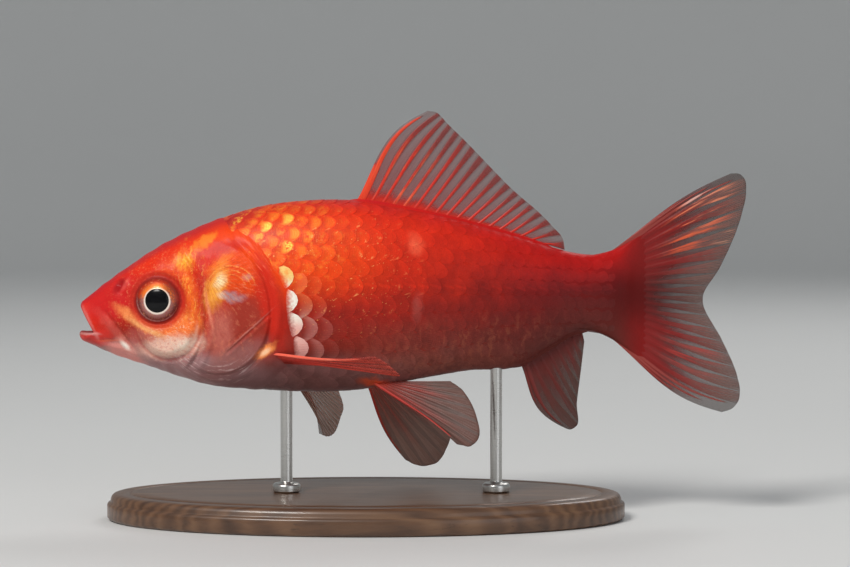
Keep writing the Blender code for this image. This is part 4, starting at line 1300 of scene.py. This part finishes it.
def makeScales(name, places, side, chooser, look):
    # every scale bends to the body under it, from a sunken root to a raised and rounded hind edge
    x, arc, pitch, tall, z, pored = places
    across, along, low, quads, under = scaleShape()
    count, columns = len(x), len(across)
    chance = chooser.random(count)
    jitter = chooser.normal(0, coat["jitter"], (2, count))
    lean = chooser.normal(1, coat["uneven"], count)
    for flatTo, flatFrom, least in coat["flatter"]:
        lean = lean * (least + (1 - least) * softStep(flatTo, flatFrom, x))
    end = np.sqrt(1 - (coat["round"] * across) ** 2)
    start = coat["rootRound"] * across**2
    t = start + (end - start) * along
    station = (x + jitter[0] - coat["ahead"] * pitch)[:, None] + (coat["length"] * pitch)[:, None] * t
    run = (arc + jitter[1])[:, None] + (coat["halfWide"] * tall)[:, None] * across
    rise = coat["root"] + coat["lift"] * lean[:, None] * t + coat["dome"] * (1 - across**2)
    rise = rise + coat["pore"] * hump(across, 0, 0.13) * pored[:, None] * softStep(0.35, 0.6, t)
    height = rise - coat["depth"] - coat["thick"] * low
    points, share = overBody(station, run, height, side)
    offset = np.arange(count)[:, None, None] * columns
    faces = (quads[None] + offset).reshape(-1, 4).tolist() + (under[None] + offset[:, 0]).tolist()
    piece = addPiece(name, placed(points), faces, look, sharp=45)
    golden = goldShare(x, z, chooser.random(count))
    addNumbers(
        piece,
        girth=share,
        across=np.broadcast_to(across, share.shape),
        along=np.broadcast_to(along, share.shape),
        chance=np.repeat(chance, columns),
        pored=np.repeat(pored.astype(float), columns),
        gold=np.repeat(golden, columns),
        silver=np.repeat(silverShare(x, z), columns),
        past=station - firstScales(points[..., 2]),
    )
    rootStation = (x - coat["ahead"] * pitch - girthStations[0]) / (girthStations[-1] - girthStations[0])
    rootShare = arc / np.interp(x, girthStations, wholeGirth) * 0.9 + 0.05
    patch = coat["patch"]
    addBakeMap(piece, rootStation[:, None] + patch * along, rootShare[:, None] + patch * across / 2)
    print(name + ":", count, "scales")


def makeEye(side, look):
    # a flattened ball, its lens standing a little out of the iris round it
    where = "left" if side < 0 else "right"
    tilt = (np.arange(eye["rings"]) + 0.5)[:, None] * np.pi / eye["rings"]
    roll = fullTurn(eye["around"])[None, :]
    reach = eye["radius"] * np.sin(tilt)
    x, z = reach * np.cos(roll), reach * np.sin(roll)
    high, fadeInside, fadeOutside = eye["lens"]
    dome = high * softStep(eye["pupil"] + fadeOutside, eye["pupil"] - fadeInside, reach)
    lens = (dome + ridge(reach, eye["irisRing"])) * (tilt < np.pi / 2)
    middle = ballMiddle()
    out = middle + (eye["depth"] - 0.05) * np.cos(tilt) + lens
    out = out + eye["turnForward"] * x + eye["turnUp"] * z
    points = pointsOf(eye["station"] + x, side * out, eye["level"] + z)
    front = (eye["station"], side * (middle + eye["depth"] + 0.05), eye["level"])
    back = (eye["station"], side * (middle - eye["depth"] + 0.05), eye["level"])
    allPoints, faces = closedRings(points, front, back)
    ball = addPiece("eyeball_" + where, placed(allPoints), faces, look)
    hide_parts("eye_" + where)


# the fins
def alongBody(first, last, edge, count):
    # the base of a midline fin: places on the body's back with edge 0, on its belly with edge 1
    shares = np.linspace(0, 1, count)
    stations = first + shares * (last - first)
    return {float(t): (float(x), 0, float(z)) for t, x, z in zip(shares, stations, bodyAt(stations)[edge])}


finDefaults = {
    "trailBow": (0, 0, 0),
    "bowReach": 0.12,
    "buried": 0.06,  # how far the sheet runs on inside the body, as a share of the fin's height
    "rayHigh": 0.20,
    "rayStart": 0.05,
    "web": 0.10,  # thickness between the rays
    "slack": 0.05,  # how far the web sags between two rays
    "thinRim": (0.01, 0.02, 0.4),  # shares across and along over which the rim thins, and what is left of it
    "spineHigh": 1.6,  # how much taller a spine stands than a ray
}
dorsalFin = {
    "base": alongBody(41.7, 69.9, 0, 5),
    "margin": {0.0: (52.3, 0, 28.4), 0.06: (53.6, 0, 28.15), 0.11: (54.35, 0, 27.5), 0.165: (55.1, 0, 26.65),
               0.30: (57.7, 0, 24.1), 0.60: (64.6, 0, 17.0), 0.90: (71.1, 0, 11.0), 0.96: (72.6, 0, 9.2),
               1.0: (72.9, 0, 7.5)},
    "leadBow": (-1.4, 0, 1.4),
    "grid": (300, 72),
    "rays": (0.080, 0.985, 17),  # shares along the base of the first and last ray, count
    "rayWide": 0.13,
    "spines": {0.004: (0.36, 0.30), 0.024: (0.93, 0.50)},  # place: how far it reaches, half width
}
analFin = {
    "base": alongBody(66.4, 75.6, 1, 3),
    "margin": {0.0: (72.4, 0, -19.1), 0.08: (73.7, 0, -19.6), 0.16: (74.6, 0, -19.2), 0.45: (74.8, 0, -15.5),
               0.75: (75.4, 0, -10.6), 1.0: (75.9, 0, -6.3)},
    "leadBow": (-1.25, 0, -0.75),
    "bowReach": 0.2,
    "grid": (130, 60),
    "rays": (0.16, 0.97, 7),
    "rayWide": 0.15,
    "spines": {0.02: (0.55, 0.22), 0.07: (0.93, 0.36)},
}
tailTop, tailBottom = float(bodyAt(80.0)[0]), float(bodyAt(80.0)[1])
tailFin = {
    "base": {0.0: (80.3, 0, tailTop), 0.5: (80.3, 0, (tailTop + tailBottom) / 2), 1.0: (80.3, 0, tailBottom)},
    "margin": {0.0: (98.0, 0, 19.0), 0.03: (99.3, 0, 18.95), 0.06: (100.15, 0, 18.1), 0.10: (100.35, 0, 16.3),
               0.18: (99.6, 0, 12.5), 0.34: (96.5, 0, 5.0), 0.47: (93.9, 0, 0.7), 0.53: (93.9, 0, -0.8),
               0.68: (96.8, 0, -6.2), 0.84: (99.2, 0, -11.9), 0.90: (99.55, 0, -14.0), 0.95: (99.1, 0, -15.8),
               0.98: (98.1, 0, -16.7), 1.0: (96.8, 0, -17.1)},
    "leadBow": (-0.45, 0, 0.75),
    "trailBow": (-0.75, 0, -1.35),
    "bowReach": 0.2,
    "grid": (330, 84),
    "rays": (0.075, 0.925, 17),
    "rayWide": 0.26,
    "rayHigh": 0.22,
    "rayStart": 0.75,
    "spines": {0.008: (0.60, 0.20), 0.024: (0.80, 0.24), 0.044: (0.95, 0.28), 0.956: (0.95, 0.28),
               0.976: (0.80, 0.24), 0.992: (0.60, 0.20)},
}
pairedFin = {"grid": (150, 72), "rayWide": 0.16, "buried": 0.1}
pectoralRays = {**pairedFin, "rays": (0.10, 0.97, 14), "spines": {0.025: (0.90, 0.34)}}
pelvicRays = {**pairedFin, "rays": (0.13, 0.97, 8), "spines": {0.03: (0.92, 0.36)}}
pairedFins = {
    "pectoral_fin_left": {
        "base": {0.0: (28.8, -6.3, -7.6), 1.0: (29.8, -5.7, -9.1)},
        "margin": {0.0: (44.6, -14.9, -7.5), 0.15: (46.0, -14.5, -8.3), 0.36: (48.2, -13.0, -10.4),
                   0.52: (47.2, -11.8, -10.3), 0.75: (44.2, -10.2, -9.6), 1.0: (41.1, -8.7, -9.3)},
        "leadBow": (-0.6, -0.9, -0.5),
        **pectoralRays,
    },
    "pectoral_fin_right": {
        "base": {0.0: (28.8, 6.2, -7.8), 1.0: (30.0, 5.6, -9.3)},
        "margin": {0.0: (35.3, 16.0, -21.7), 0.15: (36.5, 16.5, -22.2), 0.35: (37.7, 16.0, -21.6),
                   0.6: (38.7, 14.0, -19.1), 0.85: (39.2, 11.5, -16.7), 1.0: (38.5, 9.8, -14.3)},
        "leadBow": (1.2, 0.3, 0.7),
        **pectoralRays,
    },
    "pelvic_fin_left": {
        "base": {0.0: (43.8, -2.6, -12.1), 1.0: (46.8, -1.5, -12.15)},
        "margin": {0.0: (56.6, -8.6, -20.9), 0.15: (58.6, -8.5, -21.2), 0.3: (59.9, -8.0, -19.8),
                   0.5: (59.4, -6.5, -16.6), 0.75: (57.7, -4.6, -13.5), 1.0: (55.7, -3.2, -12.0)},
        "leadBow": (0.3, -0.3, 0.35),
        **pelvicRays,
    },
    "pelvic_fin_right": {
        "base": {0.0: (42.9, 2.6, -12.4), 1.0: (45.8, 1.5, -12.35)},
        "margin": {0.0: (48.9, 8.6, -25.1), 0.15: (51.1, 8.9, -26.0), 0.3: (53.5, 8.7, -25.6),
                   0.5: (55.2, 8.0, -23.2), 0.75: (56.2, 6.0, -18.8), 1.0: (55.1, 3.9, -15.0)},
        "leadBow": (-0.95, 0.3, -0.2),
        **pelvicRays,
    },
}
# colours of each kind of fin; pairs are the values at its root and tip, or the reach where something starts
# and ends
dorsalTones = {
    "root": (0.66, 0.026, 0.012),
    "tip": (0.23, 0.022, 0.018),
    "spine": (0.80, 0.060, 0.020),
    "rootWeb": (0.26, 0.012, 0.009),
    "web": (0.15, 0.026, 0.020),
    "cover": (0.46, 0.26),  # how opaque the web is
    "wide": (0.17, 0.060),  # of a ray, in gaps between rays
    "bundle": 0.24,  # how wide a forked ray's coloured web spreads
    "forks": ((0.20, 0.12), (0.55, 0.06)),  # where each starts, how far it spreads in gaps between rays
    "sheath": (0.0, 0.16),  # the web's opaque part near the root
    "fade": (0.15, 1.0),
    "thinTips": 0.35,
    "glints": (((47.5, 19.0), (5.0, 4.5), -50, (0.95, 0.20, 0.08)),),  # painted highlights on the rays: centre, radii, turn, colour
    "dusk": (),  # centre, radii, turn, amount
    "glintFrom": (-1.0, 0.0),
    "stem": (0.60, 0.022, 0.012),
    "stemReach": 0.01,
}
analTones = {
    **dorsalTones,
    "root": (0.125, 0.013, 0.010),
    "tip": (0.085, 0.036, 0.029),
    "spine": (0.16, 0.022, 0.018),
    "rootWeb": (0.10, 0.015, 0.011),
    "web": (0.062, 0.032, 0.024),
    "cover": (0.94, 0.74),
    "wide": (0.22, 0.045),
    "bundle": 0.26,
    "forks": ((0.15, 0.20), (0.40, 0.10), (0.62, 0.05)),
    "stem": (0.110, 0.013, 0.010),
    "sheath": (0.02, 0.36),
    "glints": (),
}
tailTones = {
    **dorsalTones,
    "root": tailRootRed,
    "tip": (0.19, 0.100, 0.086),
    "spine": (0.30, 0.050, 0.040),
    "rootWeb": (0.13, 0.009, 0.008),
    "web": (0.075, 0.052, 0.045),
    "cover": (0.92, 0.50),
    "wide": (0.27, 0.026),
    "bundle": 0.18,
    "forks": ((0.20, 0.24), (0.42, 0.12), (0.66, 0.06)),
    "sheath": (0.30, 0.70),
    "dusk": (((86.5, 0.6), (6.0, 3.4), 0, 0.5),),
    "glintFrom": (0.28, 0.55),
    "stem": tailRootRed,
    "fade": (0.35, 1.0),
    "thinTips": 0.2,
    "glints": (
        ((91.5, 11.8), (6.5, 3.8), 42, (0.98, 0.14, 0.04)),
        ((94.0, 14.2), (4.2, 2.0), 38, (0.98, 0.36, 0.20)),
        ((94.0, 16.6), (3.4, 0.8), 34, (0.90, 0.80, 0.76)),
        ((97.0, 9.5), (1.5, 0.9), 25, (0.95, 0.45, 0.28)),
        ((91.0, -7.5), (5.0, 3.0), -30, (0.44, 0.045, 0.035)),
    ),
}
pectoralTones = {
    **dorsalTones,
    "root": (0.82, 0.050, 0.030),
    "tip": (0.70, 0.10, 0.07),
    "spine": (0.95, 0.16, 0.10),
    "rootWeb": (0.70, 0.040, 0.025),
    "web": (0.50, 0.06, 0.045),
    "stem": (0.46, 0.060, 0.045),
    "stemReach": 0.10,
    "cover": (0.92, 0.36),
    "wide": (0.24, 0.07),
    "thinTips": 0.55,
    "forks": ((0.45, 0.18), (0.65, 0.08)),
    "glints": (((36.0, -8.0), (4.0, 0.5), 2, (1.0, 0.34, 0.22)),),
    "dusk": (((30.4, -9.4), (3.6, 0.9), -4, 0.75),),
}
# the pelvic fins' tones are lit and shaded copies of one fin colour: these, for the far fin, are lightened
# with painted light where it lies in shade
pelvicTones = {
    **dorsalTones,
    "root": (0.42, 0.080, 0.062),
    "tip": (0.36, 0.220, 0.182),
    "spine": (0.52, 0.046, 0.036),
    "rootWeb": (0.29, 0.100, 0.080),
    "web": (0.265, 0.160, 0.132),
    "stem": (0.34, 0.100, 0.080),
    "stemReach": 0.06,
    "cover": (0.96, 0.86),
    "wide": (0.16, 0.036),
    "bundle": 0.14,
    "forks": ((0.20, 0.20), (0.42, 0.10), (0.65, 0.05)),
    "sheath": (0.0, 0.20),
    "fade": (0.10, 0.8),
    "glints": (),
}
# the near pelvic fin's tones: a darker copy of the far fin's, painted shade
nearPelvicPaintedShadeTones = {
    **pelvicTones,
    "root": (0.34, 0.040, 0.030),
    "tip": (0.150, 0.072, 0.058),
    "rootWeb": (0.22, 0.036, 0.028),
    "web": (0.098, 0.048, 0.038),
    "stem": (0.56, 0.060, 0.022),
    "stemReach": 0.12,
}
# the far pectoral fin's tones: the pelvic tones lightened further, painted light where it lies in shade under
# the body
farPectoralPaintedLightTones = {
    **pelvicTones,
    "root": (0.60, 0.200, 0.150),
    "tip": (0.62, 0.400, 0.330),
    "web": (0.26, 0.160, 0.125),
    "cover": (0.80, 0.55),
    "wide": (0.22, 0.060),
}


def finSheet(fin):
    # the fin's middle surface: lines from the base to the margin, the first and last bowed out
    columns, rows = fin["grid"]
    a = np.linspace(0, 1, columns)
    r = np.linspace(-fin["buried"], 1, rows)[None, :, None]
    root, tip = through(fin["base"], a)[:, None, :], through(fin["margin"], a)[:, None, :]
    nearLead = hump(a, 0, fin["bowReach"])[:, None, None]
    nearTrail = hump(a, 1, fin["bowReach"])[:, None, None]
    swell = np.sin(np.pi * np.clip(r, 0, 1) ** 1.3)
    bow = nearLead * np.array(fin["leadBow"]) + nearTrail * np.array(fin["trailBow"])
    return a[:, None], r[..., 0], root + (tip - root) * r + swell * bow


def rayHeights(fin, tones, a, r, wide):
    # where the rays stand, from 0 in the web to 1 on a ray's middle, for the forking rays and for the spines
    first, last, count = fin["rays"]
    lane = (a - first) / (last - first) * (count - 1) + 0 * r
    away = np.abs((lane + 0.5) % 1 - 0.5)
    for start, spread in tones["forks"][:2]:
        away = np.abs(away - spread * softStep(start, 1.0, r))
    half = fin["rayWide"] * (1 - 0.6 * np.clip(r, 0, 1))
    rayed = softStep(-0.5, -0.35, lane) * softStep(count - 0.5, count - 0.65, lane)
    rays = np.sqrt(np.clip(1 - (away / half) ** 2, 0, 1)) * rayed
    spines = np.zeros_like(rays)
    for middle, (reach, halfMm) in fin["spines"].items():
        offset = (a - middle) * wide / (halfMm * (1 - 0.5 * np.clip(r / reach, 0, 1)))
        spine = np.sqrt(np.clip(1 - offset**2, 0, 1)) * softStep(reach + 0.03, reach - 0.10, r)
        spines = np.maximum(spines, spine)
    return lane, rayed, rays, spines


def makeFin(name, fin, tones, look):
    # a closed sheet, thick along its rays and thin between them
    a, r, middle = finSheet(fin)
    acrossStep, alongStep = np.gradient(middle, axis=0), np.gradient(middle, axis=1)
    wide = np.linalg.norm(acrossStep, axis=2) * (len(a) - 1)
    lane, rayed, rays, spines = rayHeights(fin, tones, a, r, np.maximum(wide, 0.5))
    normal = np.cross(acrossStep, alongStep)
    normal /= np.linalg.norm(normal, axis=2, keepdims=True)
    slack = fin["slack"] * np.cos(2 * np.pi * lane) * softStep(0.0, 0.5, r)
    middle = middle + normal * slack[..., None]
    overA, overR, thin = fin["thinRim"]
    fromRim = np.minimum(np.minimum(a, 1 - a) / overA, (1 - r) / overR)
    edge = np.minimum(1, fromRim * (1 - thin) + thin)
    taper = (1 - 0.55 * np.clip(r, 0, 1)) * softStep(-fin["buried"], fin["rayStart"], r)
    raised = fin["rayHigh"] * np.maximum(rays, fin["spineHigh"] * spines)
    thick = (fin["web"] + raised * taper) * edge
    near, far = middle + normal * thick[..., None] / 2, middle - normal * thick[..., None] / 2
    columns, rows = fin["grid"]
    rim = gridRim(columns, rows)
    faces = gridFaces(columns, rows) + gridFaces(columns, rows, first=columns * rows)
    faces += bandFaces(rim, rim + columns * rows).tolist()
    piece = addPiece(name, placed(np.concatenate([near, far])), faces, look)
    reach = np.broadcast_to(r, rays.shape)
    numbers = {"lane": lane, "rayed": rayed, "spine": spines, "reach": reach}
    addNumbers(piece, **{key: np.concatenate([values, values]) for key, values in numbers.items()})
    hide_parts(name.replace("_rayed", ""))
    print(name + ":", columns, "by", rows)


# the stand
stand = {
    "rim": (  # inset from the outline, height
        (0.9, 0.0), (0.35, 0.12), (0.0, 0.5), (0.0, 2.3), (0.12, 2.55), (0.42, 2.7), (0.50, 2.85),
        (0.55, 3.25), (0.72, 3.6), (1.0, 3.85), (1.4, 3.97), (1.9, 4.0), (3.2, 4.0), (3.3, 3.9),
        (3.45, 3.84), (3.6, 3.9), (3.7, 4.0),
    ),
    "baseAround": 240,
    "rodAround": 64,
    "rodRadius": 0.9,
    "collarRadius": 2.1,
    "collarHigh": 1.4,
    "collarRound": 0.55,
    "neckRound": 0.28,
    "grain": {0.2: (0.055, 0.024, 0.012), 0.55: (0.13, 0.062, 0.030), 0.85: (0.20, 0.105, 0.052)},
    "pores": (0.030, 0.013, 0.007),
    "steel": ((0.50, 0.49, 0.47), (0.72, 0.71, 0.69)),
}


def makeBase(look):
    # a rim profile carried round an oval, and closed at its foot and top
    low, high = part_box("stand_base")
    centre = (low + high) / 2
    halfLong, halfWide = (high.x - low.x) / 2, (high.y - low.y) / 2
    turn = fullTurn(stand["baseAround"])[None, :]
    inset, level = (np.array(stand["rim"]) * mm).T[:, :, None]
    x = centre.x + (halfLong - inset) * np.cos(turn)
    y = centre.y + (halfWide - inset) * np.sin(turn)
    points = pointsOf(x, y, low.z + level)
    inner = np.linspace(0.9, 0.1, 9)[:, None, None]
    flat = np.array([centre.x, centre.y, 0])
    top = flat + (points[-1] - flat) * np.concatenate([inner, inner, np.ones_like(inner)], axis=2)
    rings = np.concatenate([points, top])
    allPoints, faces = closedRings(rings, (centre.x, centre.y, low.z), (centre.x, centre.y, high.z))
    base = addPiece("stand_base_turned", allPoints, faces, look, sharp=50)
    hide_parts("stand_base")


def rodProfile(foot, seat, top):
    # radii and heights of a rod with a collar on the base, in mm
    rod, collar, tall = stand["rodRadius"], stand["collarRadius"], stand["collarHigh"]
    bulge, hollow = stand["collarRound"], stand["neckRound"]
    bend = np.linspace(0, np.pi / 2, 7)
    edge = [(collar - bulge + bulge * np.cos(b), seat + tall - bulge + bulge * np.sin(b)) for b in bend]
    neck = [(rod + hollow - hollow * np.sin(b), seat + tall + hollow - hollow * np.cos(b)) for b in bend]
    under = [(rod, foot), (rod, seat), (collar - 0.2, seat), (collar, seat + 0.2)]
    return [*under, *edge, *neck, (rod, top - 0.3), (rod - 0.3, top)]


def makeRod(node, look):
    # a profile of radii and heights turned round the rod's own line
    low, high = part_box(node)
    x, y = (low.x + high.x) / 2, (low.y + high.y) / 2
    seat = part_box("stand_base")[1].z / mm + 0.05
    radius, level = (np.array(rodProfile(low.z / mm, seat, high.z / mm)) * mm).T[:, :, None]
    turn = fullTurn(stand["rodAround"])[None, :]
    rings = pointsOf(x + radius * np.cos(turn), y + radius * np.sin(turn), level)
    allPoints, faces = closedRings(rings, (x, y, low.z), (x, y, high.z))
    piece = addPiece(node + "_turned", allPoints, faces, look, sharp=35)
    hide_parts(node)


# stage, lights and camera, in metres
stage = {
    "flat": 0.95,  # radius of the floor
    "cove": 0.45,  # radius of the curve from floor to wall
    "wall": 1.1,
    "around": 96,
    "colour": (0.74, 0.75, 0.75),
}
sky = {"colour": (0.90, 0.93, 0.96, 1), "strength": 0.28}
lights = {  # place, size, watts, colour
    "key": ((-0.32, -0.50, 0.58), 0.28, 4.7, (1.0, 0.97, 0.93)),
    "fill": ((0.45, -0.60, 0.20), 0.50, 0.65, (0.93, 0.96, 1.0)),
    "rim": ((0.25, 0.50, 0.50), 0.30, 0.9, (1.0, 0.98, 0.96)),
}
camera = {
    "lookAt": (0.00888, 0.0, 0.03548),
    "distance": 0.42,
    "rise": 2.5,  # degrees
    "lens": 118.3,
    "sensor": 36.0,
    "nearest": 0.01,
}


def stageLook():
    # matt pale board with a faint mottle
    paint = Paint("pale_board")
    place = paint.node("ShaderNodeTexCoord", output="Object")
    mottle = paint.noise(place, 9.0, 4.0)
    colour = paint.mix(mottle, tuple(0.97 * c for c in stage["colour"]), stage["colour"])
    return paint.finish(Colour=colour, Roughness=0.7)


def makeStage():
    # a round floor that curves up into a wall, far outside the camera
    bend = np.linspace(0, np.pi / 2, 24)
    curve = [(stage["flat"] + stage["cove"] * np.sin(b), stage["cove"] * (1 - np.cos(b))) for b in bend]
    profile = np.array([(0.3, 0), (0.6, 0), *curve, (stage["flat"] + stage["cove"], stage["wall"])])
    turn = fullTurn(stage["around"])[None, :]
    radius, level = profile.T[:, :, None]
    points = pointsOf(radius * np.cos(turn), radius * np.sin(turn), level).reshape(-1, 3)
    faces = gridFaces(len(profile), stage["around"], wraps=True)
    faces += fanFaces(np.arange(stage["around"]), len(points))
    mesh = bpy.data.meshes.new("floor")
    mesh.from_pydata([*points.tolist(), (0, 0, 0)], [], faces)
    mesh.shade_smooth()
    mesh.materials.append(stageLook())
    floor = bpy.data.objects.new("floor", mesh)
    bpy.context.scene.collection.objects.link(floor)


def aim(thing, target):
    thing.rotation_euler = (Vector(target) - thing.location).to_track_quat("-Z", "Y").to_euler()


def makeLights():
    for name, (place, size, watts, colour) in lights.items():
        lamp = bpy.data.lights.new(name, "AREA")
        lamp.shape = "DISK"
        lamp.size = size
        lamp.energy = watts
        lamp.color = colour
        thing = bpy.data.objects.new(name, lamp)
        bpy.context.scene.collection.objects.link(thing)
        thing.location = place
        aim(thing, camera["lookAt"])
    world = bpy.data.worlds.new("studio")
    world.use_nodes = True
    background = world.node_tree.nodes["Background"]
    background.inputs["Color"].default_value = sky["colour"]
    background.inputs["Strength"].default_value = sky["strength"]
    bpy.context.scene.world = world
    bpy.context.scene.view_settings.view_transform = "Standard"


def makeCamera():
    rise = np.radians(camera["rise"])
    back = Vector((0, -np.cos(rise), np.sin(rise))) * camera["distance"]
    lens = bpy.data.cameras.new("camera")
    lens.lens = camera["lens"]
    lens.sensor_width = camera["sensor"]
    lens.clip_start = camera["nearest"]
    thing = bpy.data.objects.new("camera", lens)
    bpy.context.scene.collection.objects.link(thing)
    thing.location = Vector(camera["lookAt"]) + back
    aim(thing, camera["lookAt"])
    bpy.context.scene.camera = thing


# the whole model
makeSkin(skinLook())
scalePaint = scaleLook()
makeScales("scales_left", scalePlaces(), -1, np.random.default_rng(11), scalePaint)
makeScales("scales_right", scalePlaces(), 1, np.random.default_rng(12), scalePaint)
makeScales("scales_midline", midlinePlaces(), -1, np.random.default_rng(13), scalePaint)
eyePaint = eyeLook()
for eyeSide in (-1, 1):
    makeEye(eyeSide, eyePaint)
print("eyes made")
finKinds = {  # shape, tones, the finish's name
    "dorsal_fin": (dorsalFin, dorsalTones, "dorsal_fin_rays"),
    "anal_fin": (analFin, analTones, "anal_fin_rays"),
    "tail_fin": (tailFin, tailTones, "tail_fin_rays"),
    "pectoral_fin_left": (pairedFins["pectoral_fin_left"], pectoralTones, "pectoral_fin_rays"),
    "pectoral_fin_right": (pairedFins["pectoral_fin_right"], farPectoralPaintedLightTones, "far_pectoral_fin_rays_painted_light"),
    "pelvic_fin_left": (pairedFins["pelvic_fin_left"], nearPelvicPaintedShadeTones, "near_pelvic_fin_rays_painted_shade"),
    "pelvic_fin_right": (pairedFins["pelvic_fin_right"], pelvicTones, "pelvic_fin_rays"),
}
for finName, (finShape, finTones, finish) in finKinds.items():
    makeFin(finName + "_rayed", {**finDefaults, **finShape}, finTones, finLook(finish, finTones))
makeBase(walnutLook())
steelPaint = steelLook()
for rodName in ("stand_rod_front", "stand_rod_rear"):
    makeRod(rodName, steelPaint)
print("stand made")
makeStage()
makeLights()
makeCamera()
